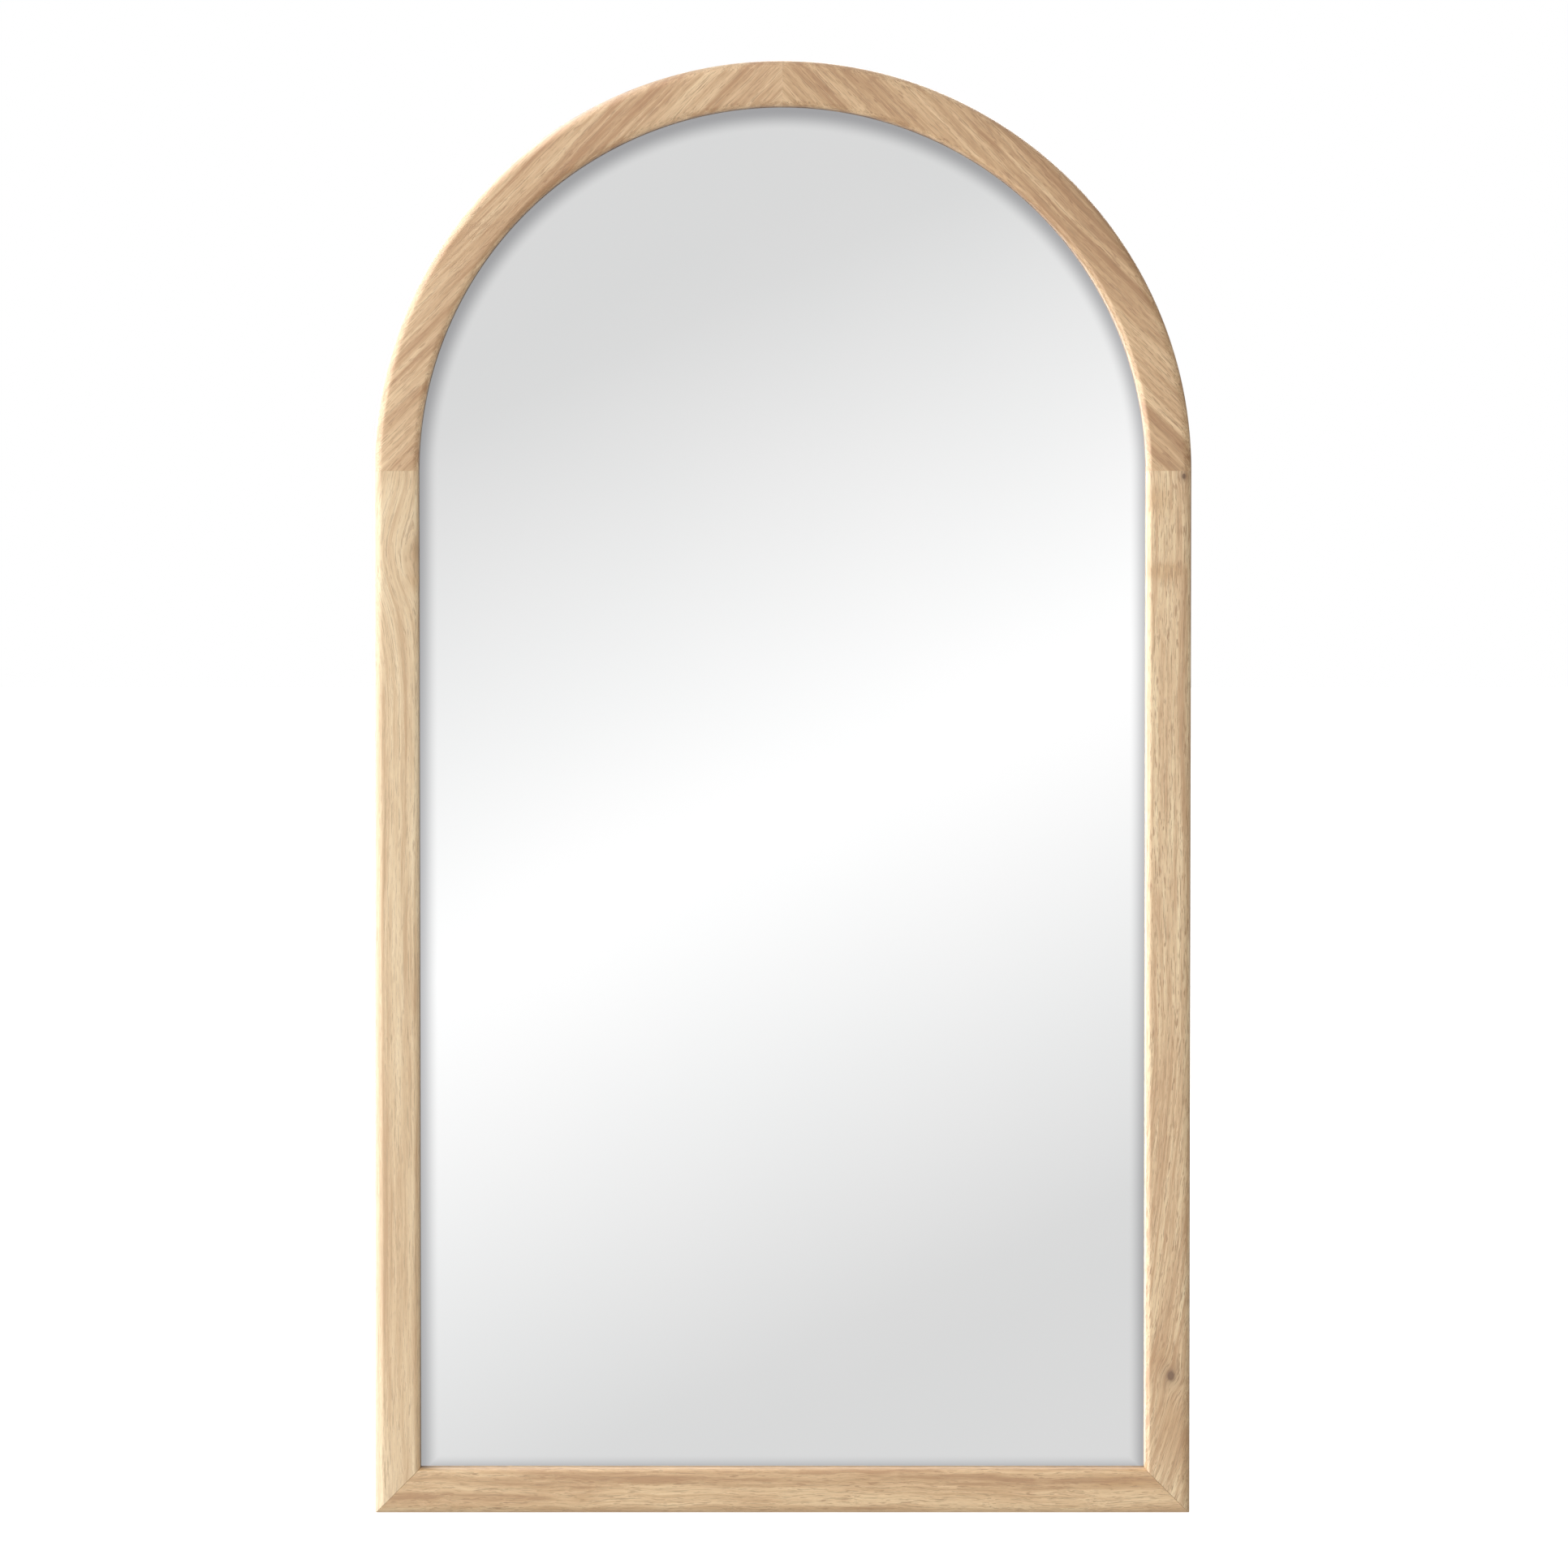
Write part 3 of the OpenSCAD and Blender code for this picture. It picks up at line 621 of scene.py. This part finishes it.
def stile():
    """The right stile, mitred at its foot and cut level with the floor."""
    bm = sweep(SECTION, [at_outer(ARCH_R, v, (-1, 0)) for v in (-OVERRUN, SPRING_V + OVERRUN)])
    cut_plane(bm, (0, 0, SPRING_V - JOINT_GAP), (0, 0, 1), EDGE_SOFT)
    cut_plane(bm, (ARCH_R + 2 * MITRE_GAP, 0, 0), (-1, 0, -1), MITRE_SOFT)
    cut_plane(bm, (0, 0, 0), FLOOR_NORMAL)
    pockets = []
    for v, height in ((PIVOT_V, HINGE_RAIL_H), (BRACE_V, BRACE_RAIL_H)):
        half = height / 2 + POCKET_PLAY
        pockets.append(box((RECESS_X - 5, RECESS_D, v - half),
                           (RAIL_HALF + POCKET_PLAY, DEPTH + 5, v + half)))
    return boolean(bm, joined(pockets), "DIFFERENCE")


def arch():
    """The right quarter circle, from the springline to the crown."""
    steps = 96
    gap = math.degrees(JOINT_GAP / ARCH_R)
    turns = [math.radians(gap + (90 - 2 * gap) * i / steps) for i in range(steps + 1)]
    bm = sweep(SECTION, [at_outer(ARCH_R * math.cos(t), SPRING_V + ARCH_R * math.sin(t),
                                  (-math.cos(t), -math.sin(t))) for t in turns])
    ends = [f for f in bm.faces if len(f.verts) > 4]
    rim = {e for f in ends for e in f.edges}
    bmesh.ops.bevel(bm, geom=list(rim), offset=EDGE_SOFT, segments=1, affect="EDGES", clamp_overlap=True)
    return bm


def floor_pad(x, grow):
    """One floor pad in the floor's frame, or the hollow that it is set in."""
    outline = rounded(PAD_L + 2 * grow, PAD_W + 2 * grow, PAD_W / 2 + grow - 0.01, 12)
    bm = prism([(x + a, b) for a, b in outline], 0, PAD_T + grow, "z")
    return bm if grow else soften(bm, 0.6)


def bottom_rail():
    """The rail between the stiles, hollowed for the floor pads."""
    bm = sweep(SECTION, [at_outer(x, 0, (0, 1)) for x in (-ARCH_R - OVERRUN, ARCH_R + OVERRUN)])
    for side in SIDES:
        cut_plane(bm, (side * (ARCH_R - 2 * MITRE_GAP), 0, 0), (side, 0, 1), MITRE_SOFT)
    cut_plane(bm, (0, 0, 0), FLOOR_NORMAL)
    hollows = joined([floor_pad(side * PAD_X, PAD_PLAY) for side in SIDES])
    hollows.transform(Matrix.Rotation(LEAN, 4, "X") @ Matrix.Translation((0, PAD_Y, -1)))
    return boolean(bm, hollows, "DIFFERENCE")


piece("left_stile_oak", mirrored(stile()), MIRROR, "mirror", OAK_LEFT, "frame_oak", "left_stile")
piece("right_stile_oak", stile(), MIRROR, "mirror", OAK_RIGHT, "frame_oak", "right_stile")
piece("left_arch_oak", mirrored(arch()), MIRROR, "mirror", OAK_ARCH_L, "frame_oak", "left_arch")
piece("right_arch_oak", arch(), MIRROR, "mirror", OAK_ARCH_R, "frame_oak", "right_arch")
piece("bottom_rail_oak", bottom_rail(), MIRROR, "mirror", OAK_RAIL, "frame_oak", "bottom_rail")

# ---- Glass and back ----


def arch_outline(half, steps=128):
    """An arch-topped outline, half wide on each side of the middle."""
    low = ARCH_R - half
    return arc((0, SPRING_V), half, 0, 180, steps) + [(-half, low), (half, low)]


pane = prism(arch_outline(REBATE_X - GLASS_GAP), GLASS_D, GLASS_D + GLASS_T)
piece("mirror_pane", soften(pane, 0.4, 1, 50), MIRROR, "mirror", SILVERED, "mirror", "mirror_glass")


# ---- Screws ----


def screw(size):
    """A countersunk screw along +z with a cross recess in its head, which is level with z = 0."""
    head_r, shank_r, length, head_h = size
    tip = 1.5
    profile = [(0, 0.05), (head_r - 0.35, 0.05), (head_r - 0.08, 0.15), (head_r - 0.05, 0.3),
               (shank_r, head_h), (shank_r, length - tip), (0.4, length), (0, length)]
    recess_l, recess_w = head_r * 1.1, head_r * 0.24
    arms = []
    for turn in (0, 90):
        arm = box((-recess_l / 2, -recess_w / 2, -1), (recess_l / 2, recess_w / 2, head_h * 0.55))
        arm.transform(Matrix.Rotation(math.radians(turn), 4, "Z"))
        arms.append(arm)
    return boolean(lathe(profile, 32), boolean(arms[0], arms[1], "UNION"), "DIFFERENCE")


def screw_hole(size):
    """The space that such a screw fills, a little larger."""
    head_r, shank_r, length, head_h = size
    play = 0.04
    return lathe([(0, -2), (head_r + play, -2), (head_r + play, 0), (shank_r + play, head_h + play),
                  (shank_r + play, length + 0.5), (0, length + 0.5)], 32)


def at_back(x, depth, v):
    """A place on a face at that depth, with z pointing forwards into the wood."""
    return Matrix.Translation((x, depth, v)) @ Matrix.Rotation(math.radians(90), 4, "X")


def copies(make, size, places, turn_step=37):
    """One shape at each place, each turned a little differently about its own axis."""
    parts = []
    template = make(size)
    for i, place in enumerate(places):
        part = template.copy()
        part.transform(place @ Matrix.Rotation(math.radians(turn_step * i), 4, "Z"))
        parts.append(part)
    template.free()
    return joined(parts)


SCREW_P = FACE_W - GLASS_LIP - LEDGE_W / 2
SCREW_R = ARCH_R - SCREW_P
LOW_ROW = (130, BRACE_V - BRACE_RAIL_H / 2 - 42.5)
HIGH_ROW = (BRACE_V + BRACE_RAIL_H / 2 + 115, PIVOT_V - HINGE_RAIL_H / 2 - 40)
STILE_V = [*LOW_ROW, HIGH_ROW[0], sum(HIGH_ROW) / 2, HIGH_ROW[1]]
ARCH_TURNS = [math.radians(a) for a in (8, 30, 52, 74)]
BOARD_PLACES = [at_back(s * SCREW_R, RECESS_D, v) for v in STILE_V for s in SIDES]
BOARD_PLACES += [at_back(x * SIGHT_X, RECESS_D, SCREW_P) for x in (-0.6, 0, 0.6)]
BOARD_PLACES += [at_back(s * SCREW_R * math.cos(a), RECESS_D, SPRING_V + SCREW_R * math.sin(a))
                 for a in ARCH_TURNS for s in SIDES]
RAIL_PLACES = [at_back(s * (RAIL_HALF - 9), DEPTH, v + dz)
               for v in (PIVOT_V, BRACE_V) for dz in (-22, 22) for s in SIDES]
BRACKET_DX = (EAR_OUT + PLATE_W / 2) / 2
BRACKET_DZ = PLATE_H / 2 - 10
BRACKET_PLACES = [at_back(s * LEG_X + dx * BRACKET_DX, PLATE_D, PIVOT_V + dz * BRACKET_DZ)
                  for s in SIDES for dx in SIDES for dz in SIDES]
STRAP_PLACES = [at_back(s * RING_X, DEPTH + STRAP_T, RING_V - drop) for s in SIDES for drop in (19, 32)]

for name, size, places in (("board_screws", BOARD_SCREW, BOARD_PLACES),
                           ("rail_screws", RAIL_SCREW, RAIL_PLACES),
                           ("bracket_screws", BRACKET_SCREW, BRACKET_PLACES),
                           ("ring_strap_screws", STRAP_SCREW, STRAP_PLACES)):
    piece(name + "_zinc", copies(screw, size, places), MIRROR, "mirror", ZINC, "screw_steel", name)

board = soften(prism(arch_outline(RECESS_X - BOARD_GAP), LEDGE_D, RECESS_D), 0.3, 1, 50)
board = boolean(board, copies(screw_hole, BOARD_SCREW, BOARD_PLACES), "DIFFERENCE")
piece("back_panel", board, MIRROR, "mirror", BOARD, "fibreboard", "backing_board")


def back_rail(v, height):
    """A rail across the back, with its screw holes."""
    bm = soften(box((-RAIL_HALF, RECESS_D + 0.02, v - height / 2), (RAIL_HALF, DEPTH, v + height / 2)), 0.6)
    bm = boolean(bm, copies(screw_hole, RAIL_SCREW, RAIL_PLACES), "DIFFERENCE")
    return boolean(bm, copies(screw_hole, BRACKET_SCREW, BRACKET_PLACES), "DIFFERENCE")


for name, v, height in (("hinge_rail", PIVOT_V, HINGE_RAIL_H), ("brace_rail", BRACE_V, BRACE_RAIL_H)):
    piece(name + "_oak", back_rail(v, height), MIRROR, "mirror", OAK_BACK, "frame_oak", name)

# ---- Rubber ----

pads = joined([floor_pad(side * PAD_X, 0) for side in SIDES])
PAD_PLACE = Matrix.Translation((0, pad_low.y + PAD_W / 2 * 0.001, 0))
piece("floor_pads_rubber", pads, PAD_PLACE, "mirror", RUBBER, "rubber", "floor_pads")

bumper_profile = [(0, 0), (BUMPER_R, 0), (BUMPER_R, BUMPER_H - 2)]
bumper_profile += arc((BUMPER_R - 2, BUMPER_H - 2), 2, 0, 90, 5)[1:] + [(0, BUMPER_H)]
TO_BACK = Matrix.Rotation(math.radians(-90), 4, "X")
bumpers = []
for side in SIDES:
    bumper = lathe(bumper_profile)
    bumper.transform(Matrix.Translation((side * LEG_X, DEPTH, BRACE_V)) @ TO_BACK)
    bumpers.append(bumper)
piece("fold_bumpers_rubber", joined(bumpers), MIRROR, "mirror", RUBBER, "rubber", "fold_bumpers")

# ---- Pivots ----

SIDE_NAMES = (("left", -1), ("right", 1))


def x_axis(bm, x, y, z):
    """Turns a shape that was lathed about z so that its axis is along x, and moves it."""
    bm.transform(Matrix.Translation((x, y, z)) @ Matrix.Rotation(math.radians(90), 4, "Y"))
    return bm


def on_pivot(bm, x):
    """Puts a shape that was lathed about z on the pivot, with its z pointing along -x."""
    bm.transform(Matrix.Translation((x, PIVOT_D, PIVOT_V)) @ Matrix.Rotation(math.radians(-90), 4, "Y"))
    return bm


def rod(radius, low, high):
    """A plain cylinder, to cut a hole with."""
    return lathe([(0, low), (radius, low), (radius, high), (0, high)])


def on_side(bm, side):
    """A shape made for the right side, or its mirror image for the left."""
    return mirrored(bm) if side < 0 else bm


def bracket():
    """A plate on the hinge rail with two ears, bored for the pivot's bolt."""
    plate = prism([(LEG_X + x, PIVOT_V + z) for x, z in rounded(PLATE_W, PLATE_H, 5)], DEPTH, PLATE_D)
    soften(plate, 0.4)
    reach = PIVOT_D - DEPTH
    outline = [(1.0, -EAR_R - EAR_FLARE), (reach, -EAR_R)] + arc((reach, 0), EAR_R, -90, 90, 24)[1:-1]
    outline += [(reach, EAR_R), (1.0, EAR_R + EAR_FLARE)]
    outline = [(DEPTH + y, PIVOT_V + z) for y, z in outline]
    for side in SIDES:
        low, high = sorted((side * EAR_IN, side * EAR_OUT))
        plate = boolean(plate, soften(prism(outline, LEG_X + low, LEG_X + high, "x"), 0.4), "UNION")
    hole = x_axis(rod(BOLT_D / 2 + BOLT_PLAY, -LEG_W, LEG_W), LEG_X, PIVOT_D, PIVOT_V)
    plate = boolean(plate, hole, "DIFFERENCE")
    return boolean(plate, copies(screw_hole, BRACKET_SCREW, BRACKET_PLACES), "DIFFERENCE")


def hexagon(height):
    """A hexagonal prism from z = 0 to height, with its far corners turned off."""
    turns = [math.radians(60 * i) for i in range(6)]
    block = prism([(HEX_R * math.cos(t), HEX_R * math.sin(t)) for t in turns], 0, height, "z")
    flat_r = HEX_R * math.cos(math.radians(30))
    above = height + 0.02
    outside = lathe([(flat_r * 0.94, above), (HEX_R + 3, above), (HEX_R + 3, height - 1.6)])
    return boolean(block, outside, "DIFFERENCE")


def bolt():
    """Along -x from its head, which is outside the outer ear."""
    start = -EAR_OUT - 0.5
    end = EAR_OUT + BOLT_D + 1
    radius = BOLT_D / 2
    shank = lathe([(0, start), (radius, start), (radius, end - 0.7), (radius - 0.7, end), (0, end)])
    head = hexagon(HEAD_H)
    head.transform(Matrix.Translation((0, 0, -EAR_OUT)) @ Matrix.Rotation(math.radians(180), 4, "X"))
    return on_pivot(boolean(shank, head, "UNION"), LEG_X)


def nut():
    """A hexagon nut with a round collar, along -x from the inner ear."""
    soft = 0.8
    shoulder = arc((COLLAR_R - soft, BOLT_D - soft), soft, 0, 90, 4)[1:]
    collar = lathe([(0, 0.5), (COLLAR_R, 0.5), (COLLAR_R, BOLT_D - soft)] + shoulder + [(0, BOLT_D)])
    bm = boolean(hexagon(NUT_H), collar, "UNION")
    bm = boolean(bm, rod(BOLT_D / 2 + BOLT_PLAY, -1, BOLT_D + 1), "DIFFERENCE")
    return on_pivot(bm, LEG_X - EAR_OUT)


def washers():
    """Four thin rings, one on each side of both legs."""
    parts = []
    inner, outer, thick = BOLT_D / 2 + 0.05, EAR_R - 2, 0.8
    for side in SIDES:
        for end in SIDES:
            ring = lathe([(inner, -thick / 2), (outer - 0.2, -thick / 2), (outer, -thick / 2 + 0.2),
                          (outer, thick / 2 - 0.2), (outer - 0.2, thick / 2), (inner, thick / 2)])
            parts.append(x_axis(ring, side * LEG_X + end * (LEG_W + 1) / 2, 0, 0))
    return joined(parts)


for side_name, side in SIDE_NAMES:
    for name, make, material in (("bracket", bracket, BLACK_STEEL), ("bolt", bolt, BOLT_STEEL),
                                 ("nut", nut, BOLT_STEEL)):
        slot = "bracket_steel" if name == "bracket" else "bolt_steel"
        piece(f"{side_name}_{name}_steel", on_side(make(), side), MIRROR, "mirror", material, slot,
              f"{side_name}_pivot_{name}")
piece("washers_nylon", washers(), EASEL, "easel", NYLON, "nylon", "pivot_washers")

# ---- Hanging rings ----


def strap():
    """A steel strip with round lower corners, curled round the ring's wire at its upper end."""
    half, low, corner = STRAP_W / 2, RING_V - STRAP_L, 5
    outline = arc((RING_X - half + corner, low + corner), corner, 180, 270, 8)
    outline += arc((RING_X + half - corner, low + corner), corner, 270, 360, 8)
    outline += [(RING_X + half, RING_V), (RING_X - half, RING_V)]
    plate = soften(prism(outline, DEPTH, DEPTH + STRAP_T), 0.2, 1, 50)
    start = Vector((DEPTH + STRAP_T / 2, RING_V - 2))
    bend = arc((RING_D, RING_V), LOOP_R - STRAP_T / 2, 180, -140, 28)
    line = [start] + [Vector(point) for point in bend]
    left, right = [], []
    for i, point in enumerate(line):
        ahead, behind = line[min(i + 1, len(line) - 1)], line[max(i - 1, 0)]
        step = (ahead - behind).normalized() * STRAP_T / 2
        left.append((point.x - step.y, point.y + step.x))
        right.append((point.x + step.y, point.y - step.x))
    curl = soften(prism(left + right[::-1], RING_X - half, RING_X + half, "x"), 0.15, 1, 50)
    bm = boolean(plate, curl, "UNION")
    return boolean(bm, copies(screw_hole, STRAP_SCREW, STRAP_PLACES), "DIFFERENCE")


def ring():
    """A wire bow hanging below a straight bar along x, about its hinge."""
    corner = 2.0
    path = arc((RING_R - corner, -corner), corner, 90, 0, 5)
    start = math.degrees(math.asin(corner / RING_R))
    path += arc((0, 0), RING_R, -start, -180 + start, 48)[1:-1]
    path += arc((-RING_R + corner, -corner), corner, 180, 90, 5)
    points = [Vector((x, 0, z)) for x, z in path]
    stations = []
    for i, p in enumerate(points):
        step = (points[(i + 1) % len(points)] - points[i - 1]).normalized()
        side = Vector((0, 1, 0))
        out = step.cross(side)
        stations.append(Matrix(((out.x, side.x, step.x, p.x), (out.y, side.y, step.y, p.y),
                                (out.z, side.z, step.z, p.z), (0, 0, 0, 1))))
    return sweep(arc((0, 0), WIRE_R, 0, 345, 23), stations, closed=True)


for side_name, side in SIDE_NAMES:
    piece(f"{side_name}_strap_steel", on_side(strap(), side), MIRROR, "mirror", NICKEL, "ring_steel",
          f"{side_name}_ring_strap")
    piece(f"{side_name}_ring_steel", ring(), Matrix.Translation(hinges[f"{side_name}_ring_swing"]),
          f"{side_name}_ring", NICKEL, "ring_steel", f"{side_name}_hanging_ring", smooth=60)

# ---- Easel ----


def leg():
    """The right leg, bevelled at its heel and cut level above its foot."""
    low = -LEG_L - 60
    bm = box((LEG_X - LEG_W / 2, -LEG_T / 2, low), (LEG_X + LEG_W / 2, LEG_T / 2, HEEL))
    towards = Matrix.Rotation(-OPEN, 3, "X") @ Vector((0, -1, 0))
    cut_plane(bm, towards * (STAND_OFF - 0.1), towards)
    down = Matrix.Rotation(-SPLAY, 3, "X") @ Vector((0, 0, -1))
    cut_plane(bm, down * (pivot.z * 1000 - FOOT_T), down)
    soften(bm, 1.8, 3, 8)
    bore = x_axis(rod(BUSH_D / 2 + 0.02, -LEG_W, LEG_W), LEG_X, 0, 0)
    return boolean(bm, bore, "DIFFERENCE")


def cross_rail(drop):
    """A rail between the legs, that far below the pivot."""
    half = LEG_X - LEG_W / 2
    bm = box((-half, -CROSS_T / 2, -drop - CROSS_H / 2), (half, CROSS_T / 2, -drop + CROSS_H / 2))
    return soften(bm, 2.0, 3, choose=lambda e: abs(e.verts[0].co.x - e.verts[1].co.x) > 1)


def foot(node_name):
    """A rubber block in the space of its node."""
    low, high = (c * 1000 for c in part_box(node_name))
    return soften(box(low, high), 0.7)


for side_name, side in SIDE_NAMES:
    leg_node = f"easel_{side_name}_leg"
    piece(leg_node + "_oak", on_side(leg(), side), EASEL, "easel", OAK_LEG, "easel_oak", leg_node)
for rail_node, drop in (("easel_upper_rail", UPPER_DROP), ("easel_lower_rail", LOWER_DROP)):
    piece(rail_node + "_oak", cross_rail(drop), EASEL, "easel", OAK_CROSS, "easel_oak", rail_node)
for side_name, _ in SIDE_NAMES:
    foot_node = f"easel_{side_name}_foot"
    piece(foot_node + "_rubber", foot(foot_node), Matrix.Identity(4), "easel", RUBBER, "rubber", foot_node)

# ---- CAD nodes that keep their shape ----

for name, material in (("frame_dowels", BEECH), ("easel_dowels", BEECH), ("glass_tape", FOAM),
                       ("foam_sheet", FOAM), ("left_pivot_bush", NYLON), ("right_pivot_bush", NYLON)):
    mesh = frame["nodes"][name].data
    mesh.materials.clear()
    mesh.materials.append(material)

# ---- Floor, light and camera ----

CAMERA_D = 6.0
CAMERA_RISE = math.radians(1.5)       # the camera looks down a little more than the glass leans
SEEN = 1.7245                         # height of the picture at the mirror, in metres
SENSOR = 36
AIM = Vector((0.0018, 0, 0.8060))     # the middle of the picture, in the mirror's frame

target = MIRROR @ AIM
glass_normal = MIRROR.to_3x3() @ Vector((0, -1, 0))
glass_up = MIRROR.to_3x3() @ Vector((0, 0, 1))
towards_camera = glass_normal * math.cos(CAMERA_RISE) + glass_up * math.sin(CAMERA_RISE)
camera = bpy.data.objects.new("camera", bpy.data.cameras.new("camera"))
bpy.context.scene.collection.objects.link(camera)
camera.data.sensor_width = SENSOR
camera.data.lens = SENSOR * CAMERA_D / SEEN
camera.data.clip_end = 60
camera.location = target + towards_camera * CAMERA_D
camera.rotation_mode = "QUATERNION"
camera.rotation_quaternion = (-towards_camera).to_track_quat("-Z", "Y")
bpy.context.scene.camera = camera

FLOOR_HALF = 6
FLOOR_GLOW = 0.72                     # enough that the floor shows as white as the air behind it
floor_mesh = bpy.data.meshes.new("floor")
floor_bm = bmesh.new()
bmesh.ops.create_grid(floor_bm, x_segments=1, y_segments=1, size=FLOOR_HALF)
floor_bm.to_mesh(floor_mesh)
floor_bm.free()
floor = bpy.data.objects.new("floor", floor_mesh)
bpy.context.scene.collection.objects.link(floor)
floor.visible_glossy = False          # it is drawn, but it lights and reflects nothing
floor.visible_diffuse = False
FLOOR_MAT, floor_tree, floor_shader = new_material("pale_floor")
spots = noise(floor_tree, node(floor_tree, "TexCoord").outputs["Object"], (2.0, 2.0, 2.0), 2.0)
floor_tree.links.new(mix(floor_tree, spots, grey(0.80), grey(0.82)),
                     floor_shader.inputs["Base Color"])
floor_shader.inputs["Roughness"].default_value = 0.9
floor_shader.inputs["Specular IOR Level"].default_value = 0.0
floor_shader.inputs["Emission Color"].default_value = grey(1.0)
floor_shader.inputs["Emission Strength"].default_value = FLOOR_GLOW
floor_mesh.materials.append(FLOOR_MAT)


def area_light(name, location, aim, width, height, power):
    """A rectangular lamp that points at aim."""
    data = bpy.data.lights.new(name, "AREA")
    data.shape = "RECTANGLE"
    data.size = width
    data.size_y = height
    data.energy = power
    light = bpy.data.objects.new(name, data)
    bpy.context.scene.collection.objects.link(light)
    light.location = location
    light.rotation_mode = "QUATERNION"
    light.rotation_quaternion = (Vector(aim) - Vector(location)).to_track_quat("-Z", "Y")
    return light


area_light("key", location=(-3.0, -1.5, 2.2), aim=(0, 0, 0.8), width=1.2, height=1.2, power=8)
area_light("back_fill", location=(0.9, 3.8, 2.6), aim=(0, 0.1, 0.7), width=2.0, height=2.0, power=90)

FILL_LEFT = 0.46                      # the soft light that falls on everything, by direction
FILL_RIGHT = 0.24
FILL_FRONT = 3.15                     # how many times stronger it is from the front
FILL_ABOVE = 0.20                     # how much stronger it is from above, and weaker from below
SOFT_BOX = 14.0                       # a tall light on the left, seen only as the sheen along the edges
CEILING = 1.2                         # what shiny parts reflect from above, and from the right
DIM_SIDE = 0.25
BAND_TILT = math.radians(25.2)        # the studio's bright band rises to the right in the glass
BAND_OFFSET = 0.033
BAND_HALF = 0.60
band_axis = glass_normal.cross(glass_up) * -math.sin(BAND_TILT) - glass_up * math.cos(BAND_TILT)
if band_axis.x < 0:
    band_axis = Vector((-band_axis.x, band_axis.y, band_axis.z))
world = bpy.data.worlds.new("studio")
bpy.context.scene.world = world
world.use_nodes = True
tree = world.node_tree
tree.nodes.clear()
out = tree.nodes.new("ShaderNodeOutputWorld")
heading = node(tree, "TexCoord").outputs["Generated"]
ahead = calc(tree, "MAXIMUM", vcalc(tree, "DOT_PRODUCT", heading, tuple(glass_normal)), 0.01)
slope = calc(tree, "DIVIDE", vcalc(tree, "DOT_PRODUCT", heading, tuple(band_axis)), ahead)
band_centre = BAND_OFFSET / CAMERA_D + math.tan(CAMERA_RISE) * math.cos(BAND_TILT)
away = calc(tree, "ABSOLUTE", calc(tree, "SUBTRACT", slope, band_centre))
away = calc(tree, "MULTIPLY", away, CAMERA_D * math.cos(CAMERA_RISE) / BAND_HALF)
band = ramp(tree, away, [(0.0, grey(1.06)), (0.12, grey(1.03)), (0.90, grey(0.735)), (1.0, grey(0.722))])
rays = node(tree, "LightPath").outputs
east, north, height = node(tree, "SeparateXYZ", [(0, heading)]).outputs
seen = node(tree, "Background", [("Color", grey(1.0)), ("Strength", 1.0)]).outputs[0]
strength = node(tree, "MapRange", [("Value", east), ("From Min", -1.0), ("From Max", 1.0),
                                   ("To Min", FILL_LEFT), ("To Max", FILL_RIGHT)]).outputs["Result"]
above = calc(tree, "ADD", calc(tree, "MULTIPLY", height, FILL_ABOVE), 1.0)
strength = calc(tree, "MULTIPLY", strength, above)
strength = calc(tree, "MULTIPLY", strength, remap(tree, north, 0.2, -1.0, 1.0, FILL_FRONT))
fill = node(tree, "Background", [("Color", grey(1.0)), ("Strength", strength)]).outputs[0]
beside = remap(tree, east, -0.2, -0.6, 0.0, SOFT_BOX)
box_light = calc(tree, "MULTIPLY", beside, remap(tree, height, -0.36, -0.06))
ceiling = remap(tree, height, 0.3, 0.8, 0.0, CEILING)
dim = remap(tree, east, 0.25, 0.6, 1.0, DIM_SIDE)
glow = calc(tree, "ADD", calc(tree, "ADD", box_light, ceiling), dim)
shine = node(tree, "Background", [("Color", band), ("Strength", glow)]).outputs[0]
lit = node(tree, "MixShader", [(0, rays["Is Glossy Ray"]), (1, fill), (2, shine)]).outputs[0]
sky = node(tree, "MixShader", [(0, rays["Is Camera Ray"]), (1, lit), (2, seen)]).outputs[0]
tree.links.new(sky, out.inputs["Surface"])

bpy.context.scene.view_settings.view_transform = "Standard"
